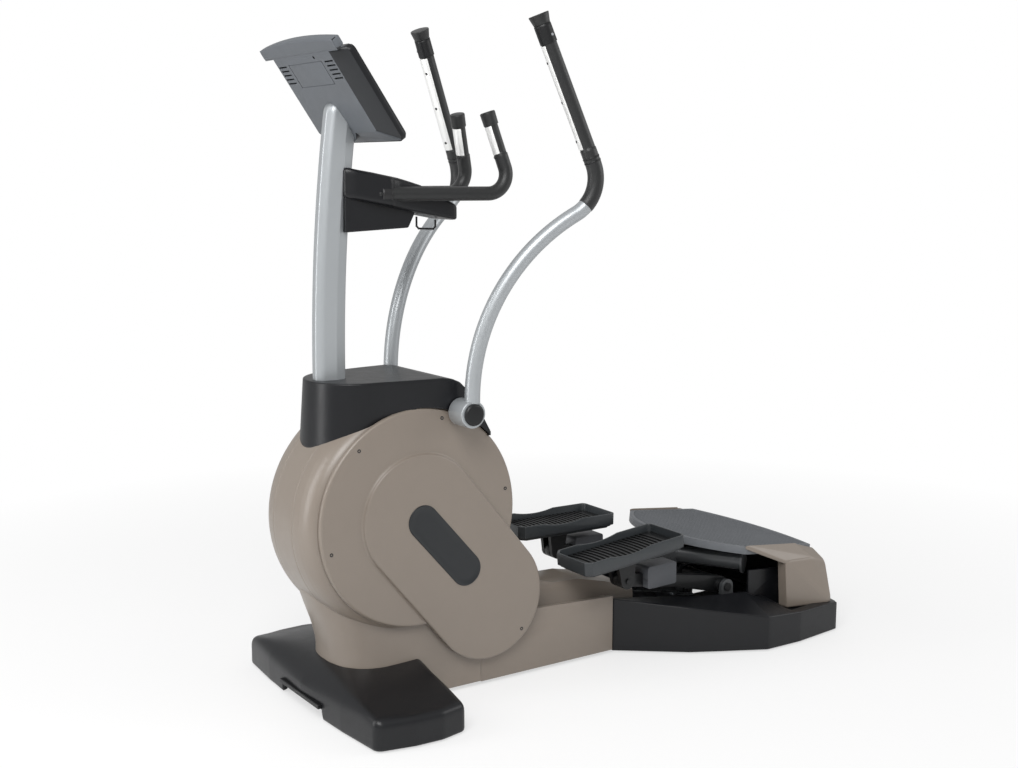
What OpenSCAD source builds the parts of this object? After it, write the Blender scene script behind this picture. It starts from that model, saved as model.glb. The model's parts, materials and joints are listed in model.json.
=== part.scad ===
// Elliptical trainer with a front drive housing, two pedal levers hinged under a rear
// step, two swinging arms and a fixed pulse bar. +Z is up, +X runs to the rear, the
// user faces -X and the origin lies on the floor in the middle of the footprint.

/* [Front housing] */
// Distance of the drum axis in front of the origin
drum_x = 499; // [490:1:510]
// Height of the drum axis above the floor
drum_z = 470; // [460:1:480]
// Radius of the drum shell at its crown
drum_r = 296; // [288:1:300]
// Half width of the drum shell between the side covers
shell_half = 125; // [122:1:128]
// Wall of the moulded shells
wall = 4; // [3:0.5:5]
// Radius of the round side covers
cover_r = 272; // [266:1:276]
// Depth of a side cover outside the shell
cover_d = 15; // [12:1:20]
// Radius of both round ends of the raised boss
boss_r = 160; // [150:1:166]
// Height of the raised boss on the cover
boss_d = 8; // [6:1:12]
// Height of the flat top of the neck cover
neck_z = 811; // [805:1:820]

/* [Front foot] */
// Half width of the front foot at its corners
foot_half = 350; // [320:1:365]
// Height of the ends of the front foot
foot_h = 73; // [66:1:80]
// Diameter of a transport wheel
wheel_d = 52; // [44:1:54]
// Diameter of the transport wheel axle
wheel_axle_d = 10; // [8:0.5:12]

/* [Beam] */
// Height of the beam side walls
beam_z = 168; // [162:1:174]
// Half width of the top of the centre ridge
ridge_half = 52; // [50:1:58]

/* [Rear base and step] */
// Height of the lower wall of the rear base
base_z = 80; // [74:1:86]
// Height of the raised rim around the lever well
rim_z = 128; // [120:1:130]
// Height of the front lip of the step
step_z = 286; // [278:1:290]
// Slope of the step down to the rear in degrees
step_slope = 6.75; // [5:0.25:8]
// Thickness of the step plate
step_t = 21; // [16:1:24]
// Half width of the step plate
step_half = 254; // [246:1:258]
// Pitch of the grip ribs on the step
rib_pitch = 13; // [10:0.5:18]

/* [Mast and console] */
// Length of the mast section along the machine
mast_l = 78; // [72:1:82]
// Width of the mast section
mast_w = 58; // [54:1:62]
// Bend radius of the mast, which stands upright in the neck cover
mast_bend_r = 4550; // [4300:10:5000]
// Tilt of the console from the vertical in degrees
console_tilt = 34.6; // [30:0.2:38]
// Half width of the console housing
console_half = 168; // [156:1:174]
// Half width of the lip along the top of the console
lip_half = 190; // [180:1:196]
// Travel of a console key
key_travel = 1.2; // [0.8:0.1:1.4]

/* [Pulse bar] */
// Outer diameter of the fixed bar
bar_d = 35; // [30:0.5:38]
// Height of the level run of the fixed bar
bar_z = 1252; // [1246:1:1258]
// Length of the upright grip of the fixed bar
bar_grip_l = 140; // [110:1:150]

/* [Swinging arms] */
// Outer diameter of the silver arm tube
arm_d = 38; // [34:0.5:39]
// Outer diameter of the rubber grip
grip_d = 40; // [38.5:0.5:44]
// Bend radius of the long curve of an arm
arm_bend_r = 512; // [505:1:525]
// Length of the straight grip above its bend
grip_l = 369; // [340:1:375]
// Diameter of the fixed axle of the arms
arm_axle_d = 24; // [20:0.5:28]
// Diameter of the hub at the foot of an arm
hub_d = 68; // [62:1:70]
// Diameter of the dark cap on the hub
hub_cap_d = 54; // [50:1:58]

/* [Levers and pedals] */
// Diameter of the rear shaft that carries the levers
shaft_d = 24; // [20:0.5:26]
// Distance of a lever from the middle of the machine
lever_y = 160; // [157:1:162]
// Thickness of a lever
lever_t = 24; // [20:1:26]
// Diameter of the pin that carries a pedal
pin_d = 16; // [14:0.5:18]
// Angle of each lever away from its middle position, left one down
lever_pose = 0.65; // [0:0.05:1]
// Length of a pedal
pedal_l = 333; // [320:1:340]
// Width of a pedal
pedal_w = 152; // [146:1:158]
// Height of the pedal rim above its underside
pedal_h = 44; // [40:1:48]
// Pitch of the grip ribs on a pedal
tread_pitch = 15; // [12:0.5:20]

/* [Drive] */
// Diameter of the crankshaft
crank_d = 24; // [20:0.5:26]
// Pitch radius of the crank pulley
crank_pulley_r = 120; // [110:1:124]
// Pitch radius of the flywheel pulley
fly_pulley_r = 25; // [22:1:28]
// Radius of the flywheel
fly_r = 128; // [110:1:129]
// Thickness of the flywheel
fly_t = 26; // [20:1:30]
// Running clearance of a shaft in its bore, on the radius
run_fit = 0.05; // [0.02:0.01:0.09]
// Gap between moving faces
gap = 2; // [1:0.5:2.5]

/* [Hidden] */
$fn = 64;
eps = 0.5;

// Colours
taupe = "#9a9086";
charcoal = "#3b3c3f";
silver = "#c4c6c8";
steel = "#55585c";
rubber = "#222326";

// Places that several pieces share, as [x, z] in the side view
drum = [-drum_x, drum_z];
crank = drum + [193, -233];
arm_pivot = drum + [105, 257];
shaft = [462, 148];
cover_y = shell_half + cover_d;
boss_y = cover_y + boss_d;
beam_half = shell_half;
foot_top = foot_h + 38;
spine_top = 62;
// Layers of the drive, as distances from the middle of the machine
rod_y = 30;
rod_t = 12;
carrier_y = 62;
horn_y = carrier_y + 4;
horn_t = 8;
link_y = horn_y + horn_t + 1;
link_t = 8;
plate_y = 92;
plate_t = 6;
// Crank throws that give the swing of the levers and the arms
ecc_r = 18;
lever_horn = 68;
arm_horn = 42;
lever_throw = 9.5;
arm_throw = 7.4;
hub_y0 = cover_y + 11;
hub_y1 = hub_y0 + 63;
// Front and rear face of the steel column and the centre of the mast
column = [-662, -622];
mast_x = -672;
mast_z0 = 830;

// A cylinder along +Y from y0 to y1 at a side-view place
module y_rod(at, r, y0, y1) {
    translate([at[0], y0, at[1]]) rotate([-90, 0, 0]) cylinder(r = r, h = y1 - y0);
}
// A side-view outline drawn from y0 to y1
module y_slab(y0, y1) {
    translate([0, y1, 0]) rotate([90, 0, 0]) linear_extrude(y1 - y0) children();
}
// The same piece on the left (-1) or right (+1) side
module on_side(s) {
    mirror([0, s < 0 ? 1 : 0, 0]) children();
}
// A bar with round ends between two places of a side view. Its straight sides lie a hair
// inside the rounds, so that they cross them cleanly.
hair = 0.05;
module bar2d(a, b, ra, rb) {
    d = b - a;
    n = [-d[1], d[0]] / norm(d);
    polygon([a + n * (ra - hair), b + n * (rb - hair), b - n * (rb - hair), a - n * (ra - hair)]);
    translate(a) circle(ra);
    translate(b) circle(rb);
}
module rounded_rect(l, w, r) {
    for (x = [-1, 1], y = [-1, 1]) translate([x * (l / 2 - r), y * (w / 2 - r)]) circle(r);
    square([l - 2 * r, w], center = true);
    square([l, w - 2 * r], center = true);
}
// A torus arc in the side view: from heading a, turning by t (positive turns left).
// A hairline weld ring closes it to the straight tube at each end that has one.
module arc_tube(p, a, t, bend, r, rings = [1, 1]) {
    s = sign(t);
    c = p + bend * s * [-sin(a), cos(a)];
    trim = 2 / bend;
    translate([c[0], 0, c[1]]) rotate([90, 0, 0])
        rotate([0, 0, (s > 0 ? a - 90 : a + 90 + t) + trim])
        rotate_extrude(angle = abs(t) - 2 * trim) translate([bend, 0]) circle(r);
    if (rings[0] > 0) run_tube(p - weld * [cos(a), sin(a)], a, 2 * weld, r + 0.1);
    if (rings[1] > 0) run_tube(arc_end(p, a, t, bend) - weld * [cos(a + t), sin(a + t)],
        a + t, 2 * weld, r + 0.1);
}
weld = 0.8;
function arc_end(p, a, t, bend) = let (s = sign(t))
    p + bend * s * [-sin(a), cos(a)] + bend * s * [sin(a + t), -cos(a + t)];
// A straight tube in the side view from p along heading a
module run_tube(p, a, l, r) {
    translate([p[0], 0, p[1]]) rotate([0, 90 - a, 0]) cylinder(r = r, h = l);
}

// ---------------------------------------------------------------- front housing
crown_at = drum - [8, 5];
// Side outline of the shell between the covers, drawn smaller by inset
module shell_outline(inset) {
    translate(drum) circle(cover_r - 8 - inset, $fn = 96);
    bar2d(drum, crank, boss_r - 6 - inset, boss_r - 6 - inset);
}
// Profile of the crown: how far each place across it lies below the top
crown_shape = [[0, 36], [5, 24], [15, 15], [30, 8], [45, 4], [64, 1], [82, 0]];
function crown_points(h, grow) = concat([[0, -h]],
    [for (p = crown_shape) [drum_r + grow - p[1], p[0] - h]],
    [for (i = [len(crown_shape) - 1 : -1 : 0])
        [drum_r + grow - crown_shape[i][1], h - crown_shape[i][0]]], [[0, h]]);
// The rounded front half of the drum, a revolved profile
module drum_crown(grow) {
    h = shell_half + min(grow, 0);
    intersection() {
        translate([crown_at[0], 0, crown_at[1]]) rotate([-90, 0, 0]) rotate_extrude($fn = 128)
            polygon(crown_points(h, grow));
        y_slab(-shell_half - 1, shell_half + 1) polygon([[-840, 210], [-700, 210],
            [-600, 330], [-540, 470], [-540, 780], [-840, 780]]);
    }
}
// The foot of the housing: a side profile with rounded front corners in plan
module pedestal(inset) {
    low = inset > 0 ? -20 : 0;
    intersection() {
        y_slab(-shell_half, shell_half)
            polygon([[-560, 440], [-742 + inset, 330], [-712 + inset, 280], [-692 + inset, 240],
                [-681 + inset, 200], [-672 + inset, 160], [-665 + inset, foot_top + low],
                [-498, foot_top + low], [-464 + inset, 70], [-464 + inset, 12 + low],
                [-316 - low, 12 + low], [-316 - low, 300], [-440, 400]]);
        linear_extrude(500) {
            r = 84;
            w = shell_half - 1.5 - inset;
            x = -682 + inset;
            for (s = [-1, 1]) translate([x + r, s * (w - r)]) circle(r);
            translate([x, -w + r]) square([r, 2 * (w - r)]);
            translate([x + r, -w]) square([310, 2 * w]);
            // the profile above flares out to the drum
            for (s = [-1, 1]) translate([-660, s * (w - 70)]) circle(70);
            translate([-760, -w + 34]) square([100, 2 * (w - 34)]);
        }
    }
}
module shell_solid(grow) {
    y_slab(-shell_half - max(grow, 0), shell_half + max(grow, 0)) shell_outline(-grow);
    drum_crown(grow);
    pedestal(-grow);
}
module front_shell() color(taupe) difference() {
    shell_solid(0);
    y_slab(-shell_half + wall, shell_half - wall) shell_outline(wall);
    drum_crown(-wall);
    pedestal(wall);
    // openings under the side covers
    y_slab(-shell_half - 1, shell_half + 1) cover_outline(22);
    // open top inside the neck cover
    intersection() {
        translate([0, 0, 640]) linear_extrude(140) neck_plan(16);
        translate([-740, -shell_half + 8, 640]) cube([440, 2 * shell_half - 16, 140]);
    }
    // open underside over the foot and the frame
    translate([-660, -shell_half + 8, -10]) cube([390, 2 * shell_half - 16, 140]);
    // windows for the pedal rods
    for (s = [-1, 1]) on_side(s) translate([-180, rod_y - 5, 184]) cube([60, rod_t + 10, 44]);
    y_rod(arm_pivot, hub_d / 2 + gap, -shell_half - 1, shell_half + 1);
}
module cover_outline(inset) {
    translate(drum) circle(cover_r - inset, $fn = 128);
    bar2d(drum, crank, boss_r - 4 - inset, boss_r - 4 - inset);
}
// A round cover with a raised stadium-shaped boss and a shadow line behind its rim
module side_cover(s) {
    on_side(s) difference() {
        union() {
            y_slab(shell_half, shell_half + 3) cover_outline(5);
            y_slab(shell_half + 3, cover_y - 4) cover_outline(0);
            translate([drum[0], cover_y - 4, drum[1]]) rotate([-90, 0, 0])
                cylinder(r1 = cover_r, r2 = cover_r - 5, h = 4, $fn = 128);
            y_slab(cover_y - 4, boss_y - 4) bar2d(drum, crank, boss_r, boss_r);
            y_slab(boss_y - 4, boss_y - 1.5) bar2d(drum, crank, boss_r - 2, boss_r - 2);
            y_slab(boss_y - 1.5, boss_y) bar2d(drum, crank, boss_r - 5, boss_r - 5);
        }
        y_slab(shell_half - eps, cover_y - wall) cover_outline(wall + 8);
        y_rod(arm_pivot, hub_d / 2 + gap, shell_half - 1, boss_y + 1);
        for (i = [0 : 4]) y_rod(screw_places[i], 4, cover_y - 3, boss_y + 1);
    }
}
screw_places = [for (a = [76, 132, 192.5, 10]) drum + (cover_r - 24) * [cos(a), sin(a)],
    crank + (boss_r - 19) * [cos(-45), sin(-45)]];
module left_side_cover() color(taupe) side_cover(-1);
module right_side_cover() color(taupe) side_cover(1);
module cover_screws() color("black") {
    for (s = [-1, 1], i = [0 : 4]) on_side(s)
        y_rod(screw_places[i], 4, cover_y - 3, i < 4 ? cover_y - 1.5 : boss_y - 1.5);
}

nose_r = 122;
nose_x = -606;
// Plan of the neck cover: round nose, flanks that flare to the covers
module neck_plan(inset) {
    r = nose_r - inset;
    w = concat([for (a = [180 : -5 : 95]) [nose_x + r * cos(a), r * sin(a)]],
        [for (p = [[-594, 122.5], [-560, 131], [-515, 138], [-470, 142], [-400, 149], [-280, 145]])
        [p[0], p[1] - inset]]);
    polygon(concat(w, [for (i = [len(w) - 1 : -1 : 1]) [w[i][0], -w[i][1]]]));
}
module neck_profile(inset) {
    low = inset > 0 ? 60 : 0;
    polygon([[-760, 640 - low], [-760, neck_z - inset], [-430, neck_z - inset],
        [-390, neck_z - 13 - inset], [-352 - inset / 2, neck_z - 50 - inset / 2],
        [-326 - inset, neck_z - 98], [-308 - inset * 2, 672 - low], [-420, 640 - low]]);
}
module neck_cover() color(charcoal) difference() {
    intersection() {
        translate([0, 0, 600]) linear_extrude(300) neck_plan(0);
        y_slab(-200, 200) neck_profile(0);
    }
    intersection() {
        translate([0, 0, 500]) linear_extrude(400) neck_plan(wall);
        y_slab(-200, 200) neck_profile(wall);
    }
    // seats on the shell and on the side covers
    shell_solid(0.3);
    for (s = [-1, 1]) on_side(s) y_slab(shell_half - 0.3, 200) cover_outline(-0.3);
    // mast hole and a small service hole behind it
    mast_bar(0.3);
    translate([mast_x + mast_l / 2 + 9, -6, 700]) cylinder(r = 3, h = 200);
    for (s = [-1, 1]) on_side(s) y_rod(arm_pivot, hub_d / 2 + gap, 90, 200);
}

// ---------------------------------------------------------------- mast and console
// The mast section: a long oval made of four arcs
module oval(a, b) {
    r = b * 0.62;
    big = (pow(a - r, 2) + pow(b, 2) - pow(r, 2)) / (2 * (b - r));
    translate([-a + r, 0]) circle(r);
    translate([a - r, 0]) circle(r);
    intersection() {
        translate([0, b - big]) circle(big, $fn = 128);
        translate([0, big - b]) circle(big, $fn = 128);
        square([2 * (a - r * 0.75), 2 * b], center = true);
    }
}
// The bent mast from foot to head, its section grown all round
module mast_bar(grow) {
    translate([mast_x + mast_bend_r, 0, mast_z0]) rotate([90, 0, 0]) rotate([0, 0, 171.4])
        rotate_extrude(angle = 10.2, $fn = 720) translate([mast_bend_r, 0])
        oval(mast_l / 2 + grow, mast_w / 2 + grow);
}
module mast() color(silver) difference() {
    mast_bar(0);
    mast_bar(-3);
    // groove down the back
    translate([mast_x + mast_bend_r, 0, mast_z0]) rotate([90, 0, 0]) rotate([0, 0, 171])
        rotate_extrude(angle = 11, $fn = 720)
        translate([mast_bend_r - mast_l / 2, 0]) square([3, 5], center = true);
    // cut along the back of the console
    console_place() translate([-27, -200, -400]) cube([400, 400, 800]);
    translate([-800, -100, 600]) cube([200, 200, 145]);
}
console_at = [-635, 1477];
module console_place() {
    translate([console_at[0], 0, console_at[1]]) rotate([0, -console_tilt, 0]) children();
}
// Side outline of the console body: u toward the user, w up the panel
module console_housing() color("#77797c") console_place() {
    difference() {
        union() {
            hull() {
                translate([-27, 0, 25]) rotate([0, 90, 0]) linear_extrude(1)
                    rounded_rect(212, 2 * console_half - 44, 6);
                translate([7, 0, -3]) rotate([0, 90, 0]) linear_extrude(1)
                    rounded_rect(250, 2 * console_half, 12);
            }
            // lip across the top, crowned in the middle
            intersection() {
                translate([-27, -lip_half, 129]) cube([11, 2 * lip_half, 60]);
                translate([-50, 0, 158 - 1500]) rotate([0, 90, 0]) cylinder(r = 1510, h = 60, $fn = 256);
            }
            // socket that grips the top of the mast
            translate([-26.8, 0, -62]) rotate([0, 90, 0])
                cylinder(r = 44, h = 12);
        }
        y_slab(-console_half + 28, console_half - 28)
            polygon([[-23, 120], [8 + eps, 114], [8 + eps, -119], [-23, -72]]);
        // five vent slots on each side of the service panel
        for (s = [-1, 1], i = [0 : 4])
            translate([-40, s * 120 - 20, 104 - 11 * i]) cube([20, 40, 4]);
        // groove around the service panel
        difference() {
            translate([-28, -86, 48]) cube([2.2, 172, 62]);
            translate([-29, -84, 50]) cube([4, 168, 58]);
        }
        translate([-40, -60, 120]) rotate([0, 90, 0]) cylinder(r = 4, h = 20);
    }
}
display = [118, 92];
keys = [[-78, -58], [-36, -58], [6, -58], [48, -58], [90, -58]];
key_d = 24;
bezel_face = 27;
module console_bezel() color(charcoal) console_place() {
    difference() {
        union() {
            translate([8.2, 0, -6]) rotate([0, 90, 0])
                linear_extrude(bezel_face - 8.2 - 5) rounded_rect(250, 2 * console_half, 16);
            translate([bezel_face - 5.2, 0, -6]) rotate([0, 90, 0])
                linear_extrude(5.2) rounded_rect(242, 2 * console_half - 8, 13);
        }
        translate([8.2 - eps, 0, -6]) rotate([0, 90, 0])
            linear_extrude(bezel_face - 8.2 - wall) rounded_rect(236, 2 * console_half - 14, 10);
        translate([bezel_face - 2.5, 0, 44]) rotate([0, 90, 0])
            linear_extrude(6) rounded_rect(display[1] + 1, 2 * display[0] + 1, 8);
        for (k = keys) translate([0, k[0], k[1]]) rotate([0, 90, 0])
            cylinder(d = key_d + 0.6, h = bezel_face + 5);
    }
    // switch plate behind the keys
    translate([12, -console_half + 4, -84]) cube([3, 2 * console_half - 8, 52]);
}
module console_display() color("#15181c") console_place()
    translate([bezel_face - 2.5, 0, 44]) rotate([0, 90, 0])
    linear_extrude(2) rounded_rect(display[1] - 0.4, 2 * display[0] - 0.4, 8);
module console_key(i) {
    console_place() translate([15 + key_travel + 0.3, keys[i][0], keys[i][1]]) rotate([0, 90, 0]) {
        cylinder(d = key_d, h = bezel_face - 15 - 0.3);
        translate([0, 0, bezel_face - 15 - 0.3 - eps])
            cylinder(d1 = key_d, d2 = key_d - 3, h = 1.4 + eps);
    }
}
module start_key() color("#3f8f4a") console_key(0);
module stop_key() color("#b23a34") console_key(1);
module up_key() color("#9a9da1") console_key(2);
module down_key() color("#9a9da1") console_key(3);
module enter_key() color("#9a9da1") console_key(4);

// ---------------------------------------------------------------- pulse bar
bracket_x = -612;
bar_start = [-556, bar_z];
bar_splay = 10;
bar_bend = 50;
bar_lean = 106.7;
bar_roll = 6.8;
module handlebar_bracket() color(charcoal) {
    difference() {
        union() {
            intersection() {
                y_slab(-70, 70) polygon([[bracket_x - 6, 1312], [-517, 1294], [-439, 1274],
                    [-344, 1228], [-339, 1183], [-450, 1200], [bracket_x - 2, 1236]]);
                translate([0, 0, 1150]) linear_extrude(200) polygon([[bracket_x - 10, -36],
                    [-560, -42], [-500, -52], [-338, -58], [-330, -50], [-330, 50],
                    [-338, 58], [-500, 52], [-560, 42], [bracket_x - 10, 36]]);
            }
            y_slab(-38, 38) polygon([[bracket_x - 8, 1240], [-452, 1204], [-466, 1174],
                [bracket_x - 10, 1164]]);
        }
        // open tray on top
        translate([0, 0, 1150]) intersection() {
            linear_extrude(200) polygon([[-500, -44], [-353, -50], [-343, -42], [-343, 42],
                [-353, 50], [-500, 44]]);
            y_slab(-70, 70) polygon([[-500, 92], [-345, 62], [-330, 200], [-500, 200]]);
        }
        for (s = [-1, 1]) bar_place(s) run_tube(bar_start - [30, 0], 0, 260, bar_d / 2 + 0.3);
        // seat on the round back of the mast
        mast_bar(0.2);
    }
}
module bar_place(s) {
    on_side(s) translate([bar_start[0], 42, bar_z]) rotate([0, 0, bar_splay])
        rotate([bar_roll, 0, 0]) translate([-bar_start[0], 0, -bar_z]) children();
}
bar_run = 288;
bar_corner = bar_start + [bar_run, 0];
bar_grip0 = arc_end(bar_corner, 0, bar_lean, bar_bend);
module pulse_bar(s) bar_place(s) {
    run_tube(bar_start, 0, bar_run - weld / 2, bar_d / 2);
    arc_tube(bar_corner, 0, bar_lean, bar_bend, bar_d / 2);
    run_tube(bar_grip0 + weld / 2 * [cos(bar_lean), sin(bar_lean)], bar_lean, bar_grip_l,
        bar_d / 2);
    run_tube(bar_grip0 + (bar_grip_l - 12) * [cos(bar_lean), sin(bar_lean)], bar_lean, 14, bar_d / 2 + 2);
}
module left_pulse_bar() color(rubber) pulse_bar(-1);
module right_pulse_bar() color(rubber) pulse_bar(1);
// A half-round metal pad on the front of an upright grip
module pad_shell(r, l, spread) {
    rotate_extrude(angle = spread) translate([r + 0.1, 0]) square([1.6, l]);
}
module pulse_sensors() color(silver) {
    for (s = [-1, 1]) bar_place(s)
        translate([bar_grip0[0], 0, bar_grip0[1]]) rotate([0, 90 - bar_lean, 0])
        translate([0, 0, 36]) rotate([0, 0, 180 - 62]) pad_shell(bar_d / 2, 70, 124);
}
module towel_hook() color("black") {
    w = [[-424, 1195.4], [-424, 1172], [-418, 1166], [-376, 1164], [-370, 1170], [-370, 1184.6]];
    for (i = [0 : len(w) - 2]) {
        a = w[i];
        b = w[i + 1];
        run_tube(a, atan2(b[1] - a[1], b[0] - a[0]), norm(b - a), 2.5);
        translate([b[0], 0, b[1]]) sphere(2.8);
    }
}

// ---------------------------------------------------------------- swinging arms
// Each arm is bent in one upright plane that is turned outward from its hub
arm_turn_out = 19.4;
arm_foot = arm_pivot + [5, 0];
arm_y = hub_y1 - 14;
arm_rise = 34;
arm_sweep = -60.2;
hand_sweep = 82.2;
hand_bend = 97;
// Part of the hand bend that belongs to the silver tube
hand_tube = 18;
// The tube starts above the cap, inside the rim of the hub
tube_start = 29;
arm_bend0 = arm_foot + [0, arm_rise];
arm_mid = arc_end(arm_bend0, 90, arm_sweep, arm_bend_r);
hand_a0 = 90 + arm_sweep;
hand_a = hand_a0 + hand_sweep;
arm_end = arc_end(arm_mid, hand_a0, hand_tube, hand_bend);
hand_grip0 = arc_end(arm_mid, hand_a0, hand_sweep, hand_bend);
arm_link_top = arm_pivot + arm_horn * [cos(25), -sin(25)];
// The right arm stands a little further forward than the left one
arm_lead = 1.5;
module arm_plane(s) {
    on_side(s) translate([arm_pivot[0], 0, arm_pivot[1]]) rotate([0, s > 0 ? -arm_lead : 0, 0])
        translate([-arm_pivot[0], 0, -arm_pivot[1]])
        translate([arm_foot[0], arm_y, 0]) rotate([0, 0, arm_turn_out])
        translate([-arm_foot[0], 0, 0]) children();
}
module arm(s) {
    difference() {
        union() {
            on_side(s) y_rod(arm_pivot, hub_d / 2, hub_y0, hub_y1);
            on_side(s) y_rod(arm_pivot, hub_d / 2 - 8, horn_y, hub_y0 + 1);
            on_side(s) y_slab(horn_y, horn_y + horn_t)
                bar2d(arm_pivot, arm_link_top, 22, 12);
            arm_plane(s) {
                run_tube(arm_foot + [0, tube_start], 90, arm_rise - tube_start - weld / 2,
                    arm_d / 2);
                arc_tube(arm_bend0, 90, arm_sweep, arm_bend_r, arm_d / 2);
                arc_tube(arm_mid, hand_a0, hand_tube, hand_bend, arm_d / 2, [0, 0]);
            }
        }
        on_side(s) y_rod(arm_pivot, arm_axle_d / 2 + run_fit, 0, hub_y1 + 1);
        on_side(s) y_rod(arm_link_top, 5 + run_fit, 0, horn_y + horn_t + 1);
    }
}
module left_arm() color(silver) arm(-1);
module right_arm() color(silver) arm(1);
module arm_grip(s) arm_plane(s) {
    arc_tube(arm_end, hand_a0 + hand_tube, hand_sweep - hand_tube, hand_bend, grip_d / 2, [0, 1]);
    run_tube(hand_grip0 + weld / 2 * [cos(hand_a), sin(hand_a)], hand_a, grip_l, grip_d / 2);
    // flared end
    translate([hand_grip0[0], 0, hand_grip0[1]]) rotate([0, 90 - hand_a, 0])
        translate([0, 0, grip_l - 22]) {
            cylinder(r1 = grip_d / 2 - 0.1, r2 = grip_d / 2 + 5, h = 20);
            translate([0, 0, 19.9]) cylinder(r = grip_d / 2 + 5, h = 4);
        }
}
module left_arm_grip() color(rubber) arm_grip(-1);
module right_arm_grip() color(rubber) arm_grip(1);
module arm_sensor(s) {
    arm_plane(s) translate([hand_grip0[0], 0, hand_grip0[1]])
        rotate([0, 90 - hand_a, 0]) translate([0, 0, 40]) rotate([0, 0, 180 - 55])
        pad_shell(grip_d / 2, 232, 110);
}
module left_arm_sensor() color(silver) arm_sensor(-1);
module right_arm_sensor() color(silver) arm_sensor(1);
module hub_cap(s) {
    on_side(s) {
        y_rod(arm_pivot, hub_cap_d / 2, hub_y1 + 0.1, hub_y1 + 5);
        translate([arm_pivot[0], hub_y1 + 5, arm_pivot[1]]) rotate([-90, 0, 0])
            cylinder(r1 = hub_cap_d / 2, r2 = hub_cap_d / 2 - 5, h = 4);
    }
}
module left_hub_cap() color(charcoal) hub_cap(-1);
module right_hub_cap() color(charcoal) hub_cap(1);
module arm_axle() color(silver) y_rod(arm_pivot, arm_axle_d / 2, -hub_y1, hub_y1);
// A drop link: solid eye on a pin at the horn, wide ring around its crank disc
module arm_link(s) {
    ring = ecc_r + 2 * arm_throw + 2;
    on_side(s) {
        difference() {
            y_slab(link_y, link_y + link_t) {
                bar2d(arm_link_top, crank + [0, ring + 4], 12, 9);
                translate(crank) circle(ring + 9);
            }
            y_rod(crank, ring, link_y - 1, link_y + link_t + 1);
        }
        y_rod(arm_link_top, 5, horn_y - 1, link_y + 1);
    }
}
module left_arm_link() color(steel) arm_link(-1);
module right_arm_link() color(steel) arm_link(1);

// ---------------------------------------------------------------- drive
module crankshaft() color(steel) {
    y_rod(crank, crank_d / 2, -plate_y - plate_t - 6, plate_y + plate_t + 6);
    for (s = [-1, 1]) {
        on_side(s) y_rod(crank + [0, -s * lever_throw], ecc_r, rod_y, rod_y + rod_t);
        on_side(s) y_rod(crank + [-s * arm_throw, 0], ecc_r, link_y, link_y + link_t);
    }
}
module spoked_disc(at, r, bore, y0, y1, spokes, rim) {
    difference() {
        y_rod(at, r, y0, y1);
        y_rod(at, bore, y0 - 1, y1 + 1);
        for (i = [0 : spokes - 1]) {
            a = 360 / spokes * i;
            y_rod(at + (bore + (r - rim - bore) * 0.55) * [cos(a), sin(a)],
                (r - rim - bore) * 0.3, y0 - 1, y1 + 1);
        }
    }
}
module crank_pulley() color("#2b2c2e")
    spoked_disc(crank, crank_pulley_r, crank_d / 2, -12, 12, 6, 14);
fly_y = 44;
module flywheel() color(steel)
    spoked_disc(drum, fly_r, 10, fly_y, fly_y + fly_t, 6, 30);
module flywheel_pulley() color("#2b2c2e") {
    difference() {
        y_rod(drum, fly_pulley_r, -12, 12);
        y_rod(drum, 10, -13, 13);
    }
    y_rod(drum, 10, -plate_y - plate_t, plate_y + plate_t);
}
// The belt wraps each pulley on its outer side and runs straight between them
belt_t = 3;
belt_dir = atan2(crank[1] - drum[1], crank[0] - drum[0]);
belt_open = acos((fly_pulley_r - crank_pulley_r) / norm(crank - drum));
module belt_arc(at, r, from, to) intersection() {
    difference() {
        translate(at) circle(r + 0.2 + belt_t, $fn = 96);
        translate(at) circle(r + 0.2, $fn = 96);
    }
    polygon(concat([at], [for (i = [0 : 4]) let (a = from + (to - from) * i / 4)
        at + 2 * (r + 10) * [cos(a), sin(a)]]));
}
module belt_run(s) {
    u = [cos(belt_dir + s * belt_open), sin(belt_dir + s * belt_open)];
    t = [s * u[1], -s * u[0]] * 3;
    polygon([drum + (fly_pulley_r + 0.6) * u - t, drum + (fly_pulley_r + belt_t - 0.4) * u - t,
        crank + (crank_pulley_r + belt_t - 0.4) * u + t, crank + (crank_pulley_r + 0.6) * u + t]);
}
module drive_belt() color("#1b1b1d") {
    y_slab(-10, 10) belt_arc(drum, fly_pulley_r, belt_dir + belt_open, belt_dir + 360 - belt_open);
    y_slab(-10, 10) belt_arc(crank, crank_pulley_r, belt_dir - belt_open, belt_dir + belt_open);
    for (s = [-1, 1]) y_slab(-9.8, 9.8) belt_run(s);
}
module bearings(at, r_in) {
    for (s = [-1, 1]) on_side(s) difference() {
        y_rod(at, r_in + 12, plate_y, plate_y + plate_t);
        y_rod(at, r_in + run_fit, plate_y - 1, plate_y + plate_t + 1);
    }
}
module shaft_bearings() color(silver) {
    bearings(crank, crank_d / 2);
    bearings(drum, 10);
}
// A yoke whose two cheeks straddle the rim of the flywheel
module brake_magnet() color("#7a4a2a") {
    at = drum + (fly_r + 6) * [cos(125), sin(125)];
    difference() {
        translate([at[0] - 26, fly_y - 12, at[1] - 20]) cube([44, fly_t + 24, 56]);
        y_rod(drum, fly_r + gap, fly_y - gap, fly_y + fly_t + gap);
    }
    // arm to the bearing plate
    translate([at[0] - 26, fly_y + fly_t + 11, at[1] + 6]) cube([44, plate_y - (fly_y + fly_t + 11), 30]);
}

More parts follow.
